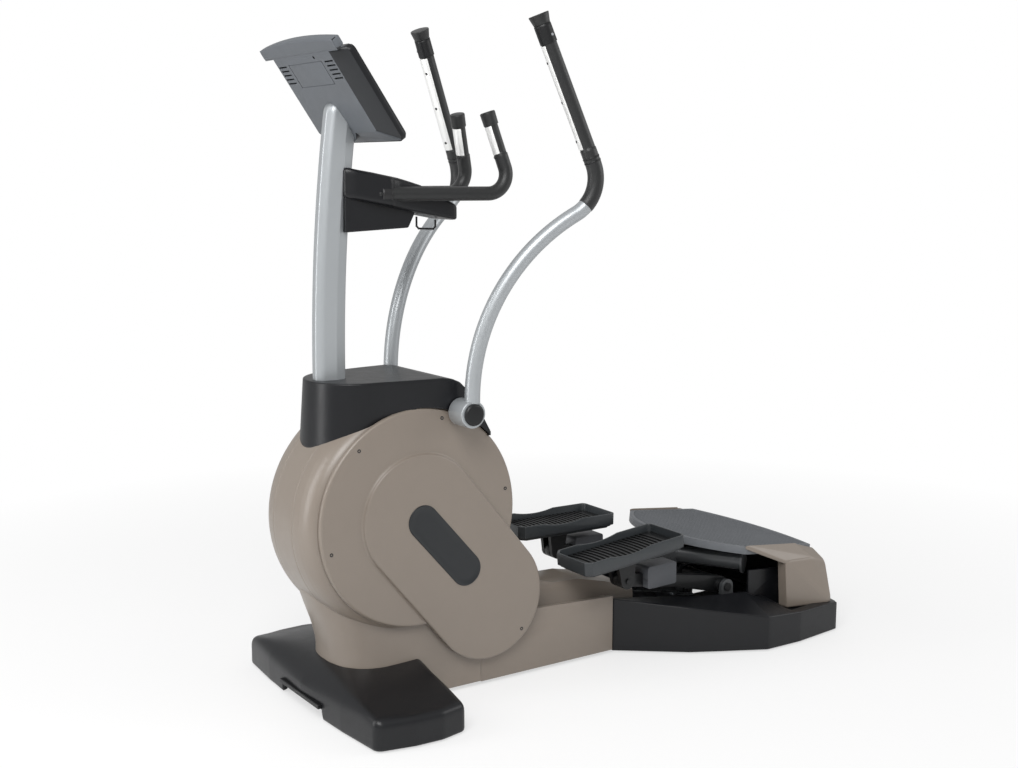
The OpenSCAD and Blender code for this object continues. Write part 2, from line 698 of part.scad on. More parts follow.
// ---------------------------------------------------------------- frame
plate_foot = [-616, 90];
module bearing_plate_outline() {
    bar2d(plate_foot, [plate_foot[0], drum[1]], 22, 22);
    bar2d([plate_foot[0], drum[1]], drum, 22, 34);
    bar2d([plate_foot[0], drum[1]], drum + fly_bracket, 22, 20);
    bar2d(drum, crank, 34, 36);
    bar2d(plate_foot, crank, 22, 36);
    polygon([[crank[0] - 24, 20], [crank[0] + 24, 20], [crank[0] + 30, crank[1]],
        [crank[0] - 30, crank[1]]]);
}
fly_bracket = (fly_r + 22) * [cos(125), sin(125)];
module frame() color("#3a3b3d") {
    difference() {
        union() {
            for (s = [-1, 1]) on_side(s) y_slab(plate_y, plate_y + plate_t) bearing_plate_outline();
            // column, its cross ties and the carrier of the arm axle
            translate([column[0], -30, 56]) cube([40, 60, 688]);
            translate([column[0] + 2, -plate_y - eps, 76]) cube([60, 2 * plate_y + 2 * eps, 34]);
            translate([column[0] + 2, -plate_y - eps, drum[1] - 20]) cube([27, 2 * plate_y + 2 * eps, 40]);
            y_slab(-carrier_y, carrier_y) bar2d([column[0] + 24, 702], arm_pivot, 22, 24);
            translate([mast_x - 30, -24, 715]) cube([60, 48, 30]);
            mast_spigot();
            // spine under the beam
            translate([column[0] - 4, -40, 14]) cube([shaft[0] + 60 - column[0], 80, spine_top - 14]);
            translate([crank[0] - 24, -plate_y - eps, 14]) cube([48, 2 * plate_y + 1, spine_top - 14]);
            // front cross tube inside the foot
            translate([-650, -320, 14]) cube([60, 640, 40]);
            // rear cross tubes and shaft brackets
            translate([shaft[0] - 25, -204, 14]) cube([50, 408, 40]);
            translate([690, -250, 14]) cube([50, 500, 40]);
            translate([shaft[0], -30, 14]) cube([240, 60, 40]);
            // pads that carry the rear base
            for (y = [-244, 210]) translate([694, y, 50]) cube([42, 34, base_z - wall - 50]);
            for (s = [-1, 1]) {
                on_side(s) y_slab(192, 202) bar2d([shaft[0], 40], shaft, 25, 22);
                on_side(s) y_slab(8, 18) bar2d([shaft[0], 40], shaft, 25, 22);
            }
            // post and diagonal struts under the step
            translate([372, -22, 50]) cube([40, 44, 164]);
            translate([372, -60, 196]) cube([48, 120, 40]);
            for (s = [-1, 1]) on_side(s) {
                translate([404, 34, 217]) rotate([0, 90, strut_a]) cylinder(d = 54, h = strut_l);
                translate([404, 34, 217]) rotate([0, 90, strut_a]) translate([0, 0, strut_l - 6])
                    cylinder(d = 72, h = 6);
            }
        }
        for (s = [-1, 1]) on_side(s) {
            y_rod(arm_pivot, arm_axle_d / 2, -1, 120);
            y_rod(crank, crank_d / 2 + 12, 80, 120);
            y_rod(drum, 22, 80, 120);
            y_rod(shaft, shaft_d / 2, 0, 210);
        }
        translate([372 - 1, -100, step_under(372)]) rotate([0, step_slope, 0]) cube([80, 200, 60]);
    }
}
strut_a = 56;
strut_l = 208;
function step_under(x) = step_z - step_t - (x - step_front) * tan(step_slope);
step_front = 365;
// Plug inside the foot of the mast
module mast_spigot() {
    intersection() {
        mast_bar(-3.2);
        translate([-800, -100, 740]) cube([300, 200, 70]);
    }
}
module lever_shaft() color(silver) y_rod(shaft, shaft_d / 2, -206, 206);

// ---------------------------------------------------------------- front foot
module foot_plan(inset) {
    for (s = [-1, 1]) polygon([[-766 + inset, 0], [-765 + inset, s * 90], [-758 + inset, s * 200],
        [-750 + inset, s * (foot_half - 30)], [-738 + inset, s * (foot_half - 4)],
        [-712 + inset, s * (foot_half + 10 - inset)], [-650, s * (foot_half + 20 - inset)],
        [-580, s * (foot_half + 24 - inset)], [-510 - inset, s * (foot_half + 4 - inset)],
        [-503 - inset, s * (foot_half - 8)], [-474 - inset, 0]]);
}
module foot_body(inset) {
    hull() {
        translate([0, 0, 4 - inset]) linear_extrude(4) foot_plan(4 + inset);
        translate([0, 0, 16]) linear_extrude(foot_h - 26 - inset) foot_plan(inset);
        translate([0, 0, foot_h - 2 - inset]) linear_extrude(2) foot_plan(8 + inset);
        translate([-694 + inset, -112, foot_h]) cube([186 - 2 * inset, 224, 38 - inset]);
    }
}
module front_foot() color(charcoal) {
    difference() {
        foot_body(0);
        translate([0, 0, -6]) foot_body(wall);
        // recess for the transport wheels in the front edge
        translate([-800, -118, -1]) cube([98, 236, 52]);
        // passage for the frame and the housing above it
        translate([-672, -shell_half + 12, 20]) cube([300, 2 * shell_half - 24, 140]);
        translate([-600, -44, -1]) cube([200, 88, 60]);
    }
    // cheeks that carry the wheel axle
    for (s = [-1, 1]) on_side(s) difference() {
        intersection() {
            foot_body(1);
            translate([-752, 104, 12]) cube([64, 8, 90]);
        }
        y_rod([wheel_x, wheel_z], wheel_axle_d / 2, 100, 120);
    }
}
wheel_x = -728;
wheel_z = 34;
// Two rollers on one axle behind the front edge of the foot
module transport_wheels() color("#161617") {
    y_rod([wheel_x, wheel_z], wheel_axle_d / 2, -112, 112);
    for (s = [-1, 1]) on_side(s) {
        y_rod([wheel_x, wheel_z], wheel_d / 2 - 3, 72, 100);
        y_rod([wheel_x, wheel_z], wheel_d / 2, 75, 97);
    }
}
module rubber_feet() color("#161617") {
    for (x = [-620], y = [-290, 290]) translate([x, y, 0]) cylinder(d = 56, h = 14);
    for (y = [-230, 230]) translate([715, y, 0]) cylinder(d = 56, h = 14);
    for (y = [-150, 150]) translate([shaft[0], y, 0]) cylinder(d = 44, h = 14);
}

// ---------------------------------------------------------------- beam cover
module beam_cover() color(taupe) {
    x0 = -315.7;
    difference() {
        union() {
            y_slab(-beam_half, beam_half) polygon([[x0, 10], [x0, beam_z + 14], [112, beam_z - 6],
                [112, 10]]);
            intersection() {
                y_slab(-120, 120) polygon([[x0, 100], [x0, 262], [-170, 244], [-40, 209], [40, 207],
                    [128, 187], [214, 160], [214, 120]]);
                translate([x0, 0, 0]) rotate([90, 0, 90]) linear_extrude(600)
                    polygon([[-88, 100], [-84, 150], [-ridge_half - 6, 206], [-ridge_half + 4, 300],
                        [ridge_half - 4, 300], [ridge_half + 6, 206], [84, 150], [88, 100]]);
            }
        }
        // hollow underneath
        y_slab(-beam_half + wall, beam_half - wall) polygon([[x0 - 1, 0], [x0 - 1, beam_z - 34],
            [130, beam_z - 48], [130, 0]]);
        intersection() {
            y_slab(-120, 120) polygon([[x0 - 1, 0], [x0 - 1, 258], [-170, 240], [-40, 205], [40, 203],
                [128, 183], [214 - wall, 156], [214 - wall, 0]]);
            translate([x0 - 1, 0, 0]) rotate([90, 0, 90]) linear_extrude(600)
                polygon([[-84, 90], [-80, 146], [-ridge_half - 2, 202], [-ridge_half + 8, 300],
                    [ridge_half - 8, 300], [ridge_half + 2, 202], [80, 146], [84, 90]]);
        }
        // sunken channels beside the ridge
        for (s = [-1, 1]) on_side(s) difference() {
            translate([x0 - 1, 66, 0]) rotate([90, 0, 90]) linear_extrude(600)
                polygon([[0, 154], [46, 154], [50, 400], [0, 400]]);
            translate([x0, 0, 0]) rotate([90, 0, 90]) linear_extrude(600)
                polygon([[0, 100], [84, 150], [ridge_half + 6, 206], [ridge_half - 4, 300], [0, 300]]);
        }
        // windows for the pedal rods in the end wall
        for (s = [-1, 1]) on_side(s) translate([196, rod_y - 5, 110]) cube([40, rod_t + 10, 42]);
        // the cover stops where the side covers overlap it
        for (s = [-1, 1]) on_side(s) y_slab(shell_half - 0.3, 200) cover_outline(-0.6);
        y_slab(-shell_half - 0.3, shell_half + 0.3) shell_outline(-0.4);
    }
}

// ---------------------------------------------------------------- rear base and step
base_half = [[114, 104], [180, 163], [269, 227], [363, 286], [440, 323], [484, 340],
    [540, 347], [640, 346], [736, 334], [783, 318], [800, 250], [812, 140], [816, 0]];
module base_plan() {
    polygon(concat(base_half, [for (i = [len(base_half) - 2 : -1 : 0])
        [base_half[i][0], -base_half[i][1]]]));
}
rim_half = [[150, 96], [300, 150], [480, 248], [562, 262]];
module rim_plan() {
    polygon(concat(rim_half, [for (i = [len(rim_half) - 1 : -1 : 0])
        [rim_half[i][0], -rim_half[i][1]]]));
}
// A low tray with a raised rim around the front half of the well
module base_body(drop, grow) {
    translate([0, 0, 4 - drop]) linear_extrude(base_z - 4) offset(delta = grow) base_plan();
    hull() {
        translate([0, 0, 4 - drop]) linear_extrude(base_z - 4) intersection() {
            offset(delta = grow) base_plan();
            translate([0, -400]) square([600, 800]);
        }
        translate([0, 0, rim_z - 2 - drop]) linear_extrude(2) offset(delta = grow) rim_plan();
    }
}
module well_plan() {
    w = step_half - 18;
    polygon([[100, -60], [215, -60], [340, -92], [415, -138], [436, -212], [500, -212], [520, -w],
        [690, -w], [690, w], [520, w], [500, 212], [436, 212], [415, 138], [340, 92],
        [215, 60], [100, 60]]);
}
module rear_base() color(charcoal) {
    difference() {
        base_body(0, 0);
        base_body(wall, -wall);
        translate([0, 0, -10]) linear_extrude(200) well_plan();
        // mouth that takes the end of the beam cover
        translate([60, -90, -10]) cube([156, 180, 200]);
    }
    // inner walls beside the levers, up to the step
    for (s = [-1, 1]) on_side(s) y_slab(step_half - 28, step_half - 20)
        polygon([[516, base_z - 10], [516, step_under(516) - 6], [650, step_under(650) - 6],
            [650, base_z - 10]]);
}
module step_plan(inset) {
    intersection() {
        translate([step_front - 20, -step_half + inset]) square([440, 2 * (step_half - inset)]);
        translate([step_front + 336, 0]) circle(336 - inset, $fn = 128);
        translate([768 - 973, 0]) circle(973 - inset, $fn = 256);
    }
}
module step_place() {
    translate([step_front, 0, step_z - step_t]) rotate([0, step_slope, 0])
        translate([-step_front, 0, 0]) children();
}
module step_platform() color("#4a4c4f") step_place() {
    difference() {
        linear_extrude(step_t) step_plan(0);
        translate([0, 0, -1]) linear_extrude(step_t - wall) step_plan(8);
        translate([0, 0, step_t - 2]) linear_extrude(3) step_plan(12);
    }
    intersection() {
        translate([0, 0, step_t - 2 - eps]) linear_extrude(3) step_plan(12.5);
        for (i = [0 : floor(400 / rib_pitch)])
            translate([step_front + 14 + i * rib_pitch, -260, step_t - 3]) cube([rib_pitch * 0.45, 520, 3]);
    }
    // stiffening webs under the plate
    for (y = [-150, 0, 150]) translate([430, y - 3, 2]) cube([290, 6, step_t - wall - 2]);
}
module pillar(s) {
    on_side(s) difference() {
        hull() {
            y_slab(step_half + 0.3, step_half + 1) polygon([[480, 262], [480, 278], [690, 250],
                [742, 238], [770, base_z + 2], [600, base_z + 2]]);
            translate([0, 34, 0]) y_slab(step_half + 0.3, step_half + 1)
                polygon([[516, 240], [600, 236], [734, 220], [776, base_z + 2], [610, base_z + 2]]);
            translate([0, 56, 0]) y_slab(step_half + 0.3, step_half + 1)
                polygon([[640, 214], [730, 206], [776, base_z + 2], [640, base_z + 2]]);
        }
        // open corner under the arm that reaches forward
        y_slab(200, 360) polygon([[440, 262], [482, 260], [590, 225], [612, base_z], [440, base_z]]);
        // seat on the sloping top of the rear base
        base_body(-0.3, 0.3);
        step_place() translate([0, 0, -4]) linear_extrude(60) offset(delta = 0.3) step_plan(0);
    }
}
module left_pillar() color(taupe) pillar(-1);
module right_pillar() color(taupe) pillar(1);
module rear_panel() color(charcoal) difference() {
    translate([0, 0, base_z - 2]) linear_extrude(220) intersection() {
        translate([600, 20 - step_half]) square([200, 2 * step_half - 40]);
        difference() {
            translate([760 - 973, 0]) circle(973, $fn = 256);
            translate([754 - 973, 0]) circle(973, $fn = 256);
        }
    }
    step_place() translate([0, 0, -0.3]) linear_extrude(260) square([1800, 900], center = true);
    base_body(-0.3, 0.3);
}

// ---------------------------------------------------------------- levers and pedals
hub_rel = [-346, 74];
knee_rel = [-165, 40];
eye_r = 22;
module lever_place(s) {
    on_side(s) translate([shaft[0], 0, shaft[1]]) rotate([0, s * lever_pose, 0]) children();
}
module lever(s) lever_place(s) difference() {
    union() {
        y_slab(lever_y - lever_t / 2, lever_y + lever_t / 2) {
            bar2d([0, 0], knee_rel, 24, 17);
            bar2d(knee_rel, hub_rel, 17, 18);
            translate(hub_rel) circle(eye_r);
        }
        y_rod([0, 0], 20, rod_y, 186);
        y_slab(rod_y, rod_y + rod_t) bar2d([0, 0], [0, -lever_horn], 20, 11);
        y_rod(hub_rel, pin_d / 2, lever_y - 28, lever_y + 30);
    }
    y_rod([0, 0], shaft_d / 2 + run_fit, 0, 220);
    y_rod([0, -lever_horn], 5 + run_fit, 0, rod_y + rod_t + 1);
}
module left_lever() color(charcoal) lever(-1);
module right_lever() color(charcoal) lever(1);
module knuckle_cover(s) lever_place(s) difference() {
    y_slab(lever_y - 24, lever_y + 34) difference() {
        translate([-232, 64]) rounded_rect(104, 80, 8);
        // shadow line where the two halves meet
        translate([-300, 66]) square([18, 1.6]);
        translate([-182, 66]) square([18, 1.6]);
    }
    y_slab(lever_y - lever_t / 2 - 0.3, lever_y + lever_t / 2 + 0.3)
        bar2d(knee_rel, hub_rel, 17.3, 18.3);
    y_slab(lever_y - lever_t / 2 - 0.3, lever_y + lever_t / 2 + 0.3)
        bar2d([0, 0], knee_rel, 24.3, 17.3);
    y_slab(lever_y - 20, lever_y + 30) translate([-232, 86]) rounded_rect(96, 20, 4);
}
module left_knuckle_cover() color("#6b6e72") knuckle_cover(-1);
module right_knuckle_cover() color("#6b6e72") knuckle_cover(1);
module rod(s) {
    a = shaft + lever_horn * [-sin(s * lever_pose), -cos(s * lever_pose)];
    ring = ecc_r + 2 * lever_throw + 2;
    d = (a - crank) / norm(a - crank);
    on_side(s) {
        difference() {
            y_slab(rod_y + rod_t / 2 - 4, rod_y + rod_t / 2 + 4) {
                bar2d(a - d * 30, crank + d * (ring + 4), 7, 7);
                translate(crank) circle(ring + 8);
            }
            y_rod(crank, ring, 0, rod_y + 30);
            // the fork leaves room for the horn
            y_rod(a, 18, rod_y - 1, rod_y + rod_t + 1);
        }
        for (y = [rod_y - 6.5, rod_y + rod_t + 0.5]) y_slab(y, y + 6) bar2d(a, a - d * 60, 12, 7);
        y_slab(rod_y - 6.5, rod_y + rod_t + 6.5) bar2d(a - d * 42, a - d * 60, 7, 7);
        y_rod(a, 5, rod_y - 6.5, rod_y + rod_t + 6.5);
    }
}
module left_rod() color(steel) rod(-1);
module right_rod() color(steel) rod(1);

function lever_point(s) = shaft + [hub_rel[0] * cos(lever_pose) + s * hub_rel[1] * sin(lever_pose),
    -s * hub_rel[0] * sin(lever_pose) + hub_rel[1] * cos(lever_pose)];
pedal_pitch = [5.35, -0.72];
pedal_rise = 103;
module pedal_place(s) {
    p = lever_point(s);
    on_side(s) translate([p[0], lever_y, p[1]])
        rotate([0, -(s < 0 ? pedal_pitch[0] : pedal_pitch[1]), 0]) children();
}
module pedal_plan(inset) {
    l = pedal_l / 2 - inset;
    w = pedal_w / 2 - inset;
    c = 22;
    difference() {
        rounded_rect(2 * l, 2 * w, 14);
        for (s = [-1, 1]) translate([-l, s * w]) rotate(45) square(c, center = true);
    }
}
module pedal(s) pedal_place(s) {
    bottom = pedal_rise - pedal_h;
    difference() {
        union() {
            translate([0, 0, bottom + 10]) linear_extrude(pedal_h - 10) pedal_plan(0);
            translate([0, 0, bottom + 5]) linear_extrude(6) pedal_plan(6);
            translate([0, 0, bottom]) linear_extrude(6) pedal_plan(12);
        }
        translate([0, 0, bottom + 20]) linear_extrude(pedal_h) pedal_plan(5);
        // dip in the middle of the rim
        translate([-20, -200, pedal_rise + 292]) rotate([-90, 0, 0]) cylinder(r = 300, h = 400, $fn = 128);
        translate([0, 0, bottom - 1]) linear_extrude(7) pedal_plan(20);
    }
    // ribs under the footplate
    for (x = [-110, 110]) translate([x - 3, -50, bottom]) cube([6, 100, 8]);
}
module left_pedal() color(charcoal) pedal(-1);
module right_pedal() color(charcoal) pedal(1);
module tread(s) pedal_place(s) {
    translate([0, 0, pedal_rise - pedal_h + 20.1]) {
        linear_extrude(3) pedal_plan(6);
        linear_extrude(6) intersection() {
            pedal_plan(10);
            translate([-330, 0]) for (i = [0 : floor(280 / tread_pitch)]) difference() {
                circle(190 + i * tread_pitch, $fn = 128);
                circle(184 + i * tread_pitch, $fn = 128);
            }
        }
    }
}
module left_tread() color("#4d4f52") tread(-1);
module right_tread() color("#4d4f52") tread(1);
module pedal_bracket(s) pedal_place(s) {
    top = pedal_rise - pedal_h + 5.9;
    difference() {
        union() {
            for (y = [-lever_t / 2 - 2 - 12, lever_t / 2 + 2]) y_slab(y, y + 12) {
                circle(eye_r);
                polygon([[-eye_r, 0], [eye_r, 0], [eye_r + 8, top - 12], [-eye_r - 8, top - 12]]);
            }
            translate([-eye_r - 14, -lever_t / 2 - 22, top - 12]) cube([2 * eye_r + 28, lever_t + 44, 12]);
        }
        y_rod([0, 0], pin_d / 2 + run_fit, -60, 60);
    }
}
module left_pedal_bracket() color(charcoal) pedal_bracket(-1);
module right_pedal_bracket() color(charcoal) pedal_bracket(1);

frame();
front_foot();
front_shell();
left_side_cover();
right_side_cover();
beam_cover();
neck_cover();
mast();
console_housing();
console_bezel();
console_display();
start_key();
stop_key();
up_key();
down_key();
enter_key();
handlebar_bracket();
towel_hook();
left_pulse_bar();
right_pulse_bar();
pulse_sensors();
rear_base();
rear_panel();
step_platform();
left_pillar();
right_pillar();
rubber_feet();
cover_screws();
arm_axle();
lever_shaft();
brake_magnet();
shaft_bearings();
transport_wheels();
crankshaft();
crank_pulley();
flywheel();
flywheel_pulley();
drive_belt();
left_arm();
left_arm_grip();
left_arm_sensor();
left_hub_cap();
left_arm_link();
right_arm();
right_arm_grip();
right_arm_sensor();
right_hub_cap();
right_arm_link();
left_lever();
left_knuckle_cover();
left_rod();
left_pedal();
left_pedal_bracket();
left_tread();
right_lever();
right_knuckle_cover();
right_rod();
right_pedal();
right_pedal_bracket();
right_tread();
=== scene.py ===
import json
import math
import bpy
import bmesh
import numpy as np
from mathutils import Matrix, Vector


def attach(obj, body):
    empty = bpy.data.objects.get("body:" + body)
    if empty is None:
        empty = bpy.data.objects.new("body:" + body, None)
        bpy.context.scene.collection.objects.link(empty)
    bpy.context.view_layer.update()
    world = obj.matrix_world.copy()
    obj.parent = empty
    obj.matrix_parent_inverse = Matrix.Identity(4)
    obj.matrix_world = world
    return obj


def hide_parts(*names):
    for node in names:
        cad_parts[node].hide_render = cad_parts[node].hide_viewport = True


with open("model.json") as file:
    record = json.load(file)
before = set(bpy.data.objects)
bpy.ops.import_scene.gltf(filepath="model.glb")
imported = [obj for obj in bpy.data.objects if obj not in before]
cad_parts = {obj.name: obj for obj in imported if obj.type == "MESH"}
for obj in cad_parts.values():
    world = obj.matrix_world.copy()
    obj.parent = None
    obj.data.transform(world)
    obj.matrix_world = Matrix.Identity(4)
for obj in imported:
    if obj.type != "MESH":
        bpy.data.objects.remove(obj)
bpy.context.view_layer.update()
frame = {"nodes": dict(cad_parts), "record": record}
nodeBody = {n: b for b, names in frame["record"]["behaviour"]["bodies"].items() for n in names}
print("frame loaded:", len(nodeBody), "nodes")


# ---- shader maths ----
class Sock:
    # wraps a socket, so that arithmetic on it adds Math nodes
    def __init__(self, tree, sock):
        self.tree, self.sock = tree, sock

    def calc(self, operation, first, second=None):
        made = self.tree.nodes.new("ShaderNodeMath")
        made.operation = operation
        for i, value in enumerate((first, second)):
            if isinstance(value, Sock):
                self.tree.links.new(value.sock, made.inputs[i])
            elif value is not None:
                made.inputs[i].default_value = value
        return Sock(self.tree, made.outputs[0])

    def __add__(self, other): return self.calc("ADD", self, other)
    def __radd__(self, other): return self.calc("ADD", other, self)
    def __sub__(self, other): return self.calc("SUBTRACT", self, other)
    def __rsub__(self, other): return self.calc("SUBTRACT", other, self)
    def __mul__(self, other): return self.calc("MULTIPLY", self, other)
    def __rmul__(self, other): return self.calc("MULTIPLY", other, self)
    def __truediv__(self, other): return self.calc("DIVIDE", self, other)
    def clamp(self): return self.calc("MAXIMUM", self.calc("MINIMUM", self, 1.0), 0.0)


class Finish:
    # one material and its node tree
    def __init__(self, name):
        self.material = bpy.data.materials.new(name)
        self.material.use_nodes = True
        self.tree = self.material.node_tree
        self.tree.nodes.clear()
        self.out = self.tree.nodes.new("ShaderNodeOutputMaterial")
        self.bsdf = self.tree.nodes.new("ShaderNodeBsdfPrincipled")
        self.tree.links.new(self.bsdf.outputs[0], self.out.inputs["Surface"])
        self.place = self.node("ShaderNodeTexCoord")["Object"]

    def node(self, kind, settings=None, inputs=None):
        # any node: its settings first, then the values or links of its sockets
        made = self.tree.nodes.new(kind)
        for key, value in (settings or {}).items():
            setattr(made, key, value)
        for key, value in (inputs or {}).items():
            if isinstance(value, Sock):
                self.tree.links.new(value.sock, made.inputs[key])
            else:
                made.inputs[key].default_value = value
        tree = self.tree

        class Outputs:
            def __getitem__(self, key):
                return Sock(tree, made.outputs[key])
        return Outputs()

    def feed(self, **values):
        # sets or links sockets of the shader; an underscore in a name stands for a space
        for key, value in values.items():
            socket = self.bsdf.inputs[key.replace("_", " ")]
            if isinstance(value, Sock):
                self.tree.links.new(value.sock, socket)
            else:
                socket.default_value = value

    def noise(self, scale, detail=2.0, rough=0.5, vector=None):
        return self.node("ShaderNodeTexNoise", {}, {"Vector": vector or self.place, "Scale": scale,
                         "Detail": detail, "Roughness": rough})["Fac"]

    def blend(self, amount, first, second):
        return self.node("ShaderNodeMix", {"data_type": "RGBA"},
                         {"Factor": amount, "A": first, "B": second})["Result"]

    def bump(self, height, distance):
        return self.node("ShaderNodeBump", {}, {"Height": height, "Distance": distance, "Strength": 1.0})["Normal"]


def colour(text):
    # a written web colour as linear light
    parts = [int(text[i:i + 2], 16) / 255 for i in (1, 3, 5)]
    return tuple(c / 12.92 if c < 0.04045 else ((c + 0.055) / 1.055) ** 2.4 for c in parts) + (1.0,)


# ---- finishes ----
def moulded(name, base, shade, rough, grain, grainSize, coat=0.0, shine=0.5):
    # moulded plastic: a fine pebble grain, slow colour drift, duller in the grain's valleys
    f = Finish(name)
    pebble = f.noise(1.0 / grainSize, 3.0, 0.55)
    drift = f.noise(3.2, 3.0, 0.6)
    dust = f.noise(38.0, 4.0, 0.6)
    f.feed(Base_Color=f.blend(((drift - 0.5) * 1.1 + (dust - 0.5) * 0.35 + 0.5).clamp(),
                              colour(base), colour(shade)),
           Roughness=(rough + (pebble - 0.5) * 0.16 + (dust - 0.5) * 0.12).clamp(),
           Normal=f.bump(pebble, grain), Coat_Weight=coat, Coat_Roughness=0.3, Specular_IOR_Level=shine)
    return f.material


def painted(name, base, shade, metal, rough, fleck):
    # metallic paint: tiny bright flecks under a thin clear coat with a faint ripple
    f = Finish(name)
    flecks = f.node("ShaderNodeTexVoronoi", {}, {"Vector": f.place, "Scale": 1400.0})["Distance"]
    spark = (1 - flecks * 2.2).clamp()
    ripple = f.noise(55.0, 2.0)
    drift = f.noise(4.0, 2.0)
    f.feed(Base_Color=f.blend((spark * fleck + (drift - 0.5) * 0.5 + 0.3).clamp(), colour(base), colour(shade)),
           Metallic=metal, Roughness=(rough + (ripple - 0.5) * 0.06 - spark * 0.05).clamp(),
           Normal=f.bump(ripple, 0.00008), Coat_Weight=0.35, Coat_Roughness=0.12)
    return f.material


def rubbery(name, base, shade, rough=0.62):
    # foam rubber: open pores, dull, with a slight sheen
    f = Finish(name)
    pores = f.node("ShaderNodeTexVoronoi", {}, {"Vector": f.place, "Scale": 520.0})["Distance"]
    worn = f.noise(16.0, 4.0, 0.6)
    f.feed(Base_Color=f.blend(((worn - 0.35) * 1.3 + pores * 0.2).clamp(), colour(base), colour(shade)),
           Roughness=(rough + (worn - 0.5) * 0.2).clamp(), Normal=f.bump(pores, 0.00022),
           Sheen_Weight=0.12, Sheen_Roughness=0.5)
    return f.material


def brushed(name, base, shade, rough, along=(1.0, 1.0, 14.0), scale=190.0):
    # machined or brushed metal: fine lines along one direction, a few darker scratches
    f = Finish(name)
    stretched = f.node("ShaderNodeVectorMath", {"operation": "MULTIPLY"},
                       {0: f.place, 1: tuple(1.0 / a for a in along)})["Vector"]
    lines = f.noise(scale, 3.0, 0.6, stretched)
    marks = f.noise(22.0, 4.0, 0.65)
    f.feed(Base_Color=f.blend((lines * 0.5 + marks * 0.5).clamp(), colour(base), colour(shade)), Metallic=1.0,
           Roughness=(rough + (lines - 0.5) * 0.18 + (marks - 0.5) * 0.1).clamp(),
           Normal=f.bump(lines, 0.00005))
    return f.material


finishes = {
    "taupe": moulded("taupeShell", "#847a70", "#7e746a", 0.38, 0.00007, 0.0011, 0.3),
    "charcoal": moulded("charcoalShell", "#141518", "#121316", 0.36, 0.00009, 0.0013, 0.12, 0.32),
    "badge": moulded("badgePad", "#1c1f22", "#191c1f", 0.4, 0.00012, 0.0012),
    "console": moulded("consoleGrey", "#62666b", "#5a5e63", 0.45, 0.00010, 0.0010),
    "dark": moulded("darkMoulding", "#131416", "#111213", 0.42, 0.00012, 0.0014, 0.1, 0.35),
    "pedal": moulded("pedalMoulding", "#2f3336", "#2b2f32", 0.4, 0.00009, 0.0012, 0.2),
    "step": moulded("stepMoulding", "#6b6e72", "#626569", 0.5, 0.00014, 0.0012),
    "knuckle": moulded("knuckleGrey", "#515357", "#4b4d51", 0.45, 0.00012, 0.0012, 0.0, 0.35),
    "housingSide": moulded("housingSide", "#242629", "#202225", 0.42, 0.00012, 0.0012),
    "blackHard": moulded("blackHard", "#1d1d1f", "#161617", 0.38, 0.00008, 0.0010),
    "glass": moulded("displayGlass", "#0d1013", "#0b0d10", 0.12, 0.00001, 0.0100, 0.8),
    "silver": painted("silverPaint", "#a6aaad", "#aeb2b4", 0.5, 0.4, 0.06),
    "rubber": rubbery("gripFoam", "#1b1c1d", "#171818", 0.42),
    "feet": rubbery("footRubber", "#1c1c1d", "#262627", 0.7),
    # the sensor plates get a near-white base colour: painted reflection of the bright room, standing in for the glare
    # on the polished steel
    "plate": painted("sensorSteelPaintedReflection", "#f6f6f4", "#ffffff", 0.35, 0.4, 0.2),
    "steel": brushed("shaftSteel", "#a9acaf", "#8d9093", 0.3, (1.0, 14.0, 1.0)),
    "iron": brushed("castIron", "#6b6d70", "#55575a", 0.45, (1.0, 1.0, 1.0), 120.0),
    "coatedFrame": painted("frameCoat", "#404244", "#4a4c4e", 0.25, 0.4, 0.3),
    "belt": rubbery("beltRubber", "#1b1b1d", "#232325", 0.7),
    "copper": moulded("magnetCoat", "#7a4a2a", "#6a3f24", 0.5, 0.0001, 0.001),
    "green": moulded("startGreen", "#3f8f4a", "#37813f", 0.4, 0.00005, 0.0010),
    "red": moulded("stopRed", "#b23a34", "#a3322d", 0.4, 0.00005, 0.0010),
    "keyGrey": moulded("keyGrey", "#9a9da1", "#8f9296", 0.42, 0.00005, 0.0010),
}
nodeFinish = {
    "taupe": ["front_shell", "left_side_cover", "right_side_cover", "beam_cover", "left_pillar", "right_pillar"],
    "charcoal": ["front_foot", "neck_cover", "console_bezel", "handlebar_bracket", "rear_base", "rear_panel"],
    "console": ["console_housing"],
    "dark": ["step_platform", "left_tread", "right_tread", "left_lever", "right_lever",
             "left_pedal_bracket", "right_pedal_bracket", "left_hub_cap", "right_hub_cap", "lever_shaft"],
    "pedal": ["left_pedal", "right_pedal", "left_knuckle_cover", "right_knuckle_cover"],
    "blackHard": ["towel_hook", "cover_screws", "transport_wheels", "crank_pulley", "flywheel_pulley"],
    "glass": ["console_display"],
    "silver": ["mast", "left_arm", "right_arm"],
    "rubber": ["left_pulse_bar", "right_pulse_bar", "left_arm_grip", "right_arm_grip"],
    "feet": ["rubber_feet"],
    "plate": ["pulse_sensors", "left_arm_sensor", "right_arm_sensor"],
    "steel": ["arm_axle", "crankshaft", "shaft_bearings", "left_rod", "right_rod",
              "left_arm_link", "right_arm_link"],
    "iron": ["flywheel"],
    "coatedFrame": ["frame"],
    "belt": ["drive_belt"],
    "copper": ["brake_magnet"],
    "green": ["start_key"], "red": ["stop_key"], "keyGrey": ["up_key", "down_key", "enter_key"],
}
for finishName, members in nodeFinish.items():
    for member in members:
        made = frame["nodes"][member].data.materials
        if len(made) == 0:
            made.append(finishes[finishName])
        for i in range(len(made)):
            made[i] = finishes[finishName]
print("finishes made:", len(finishes))


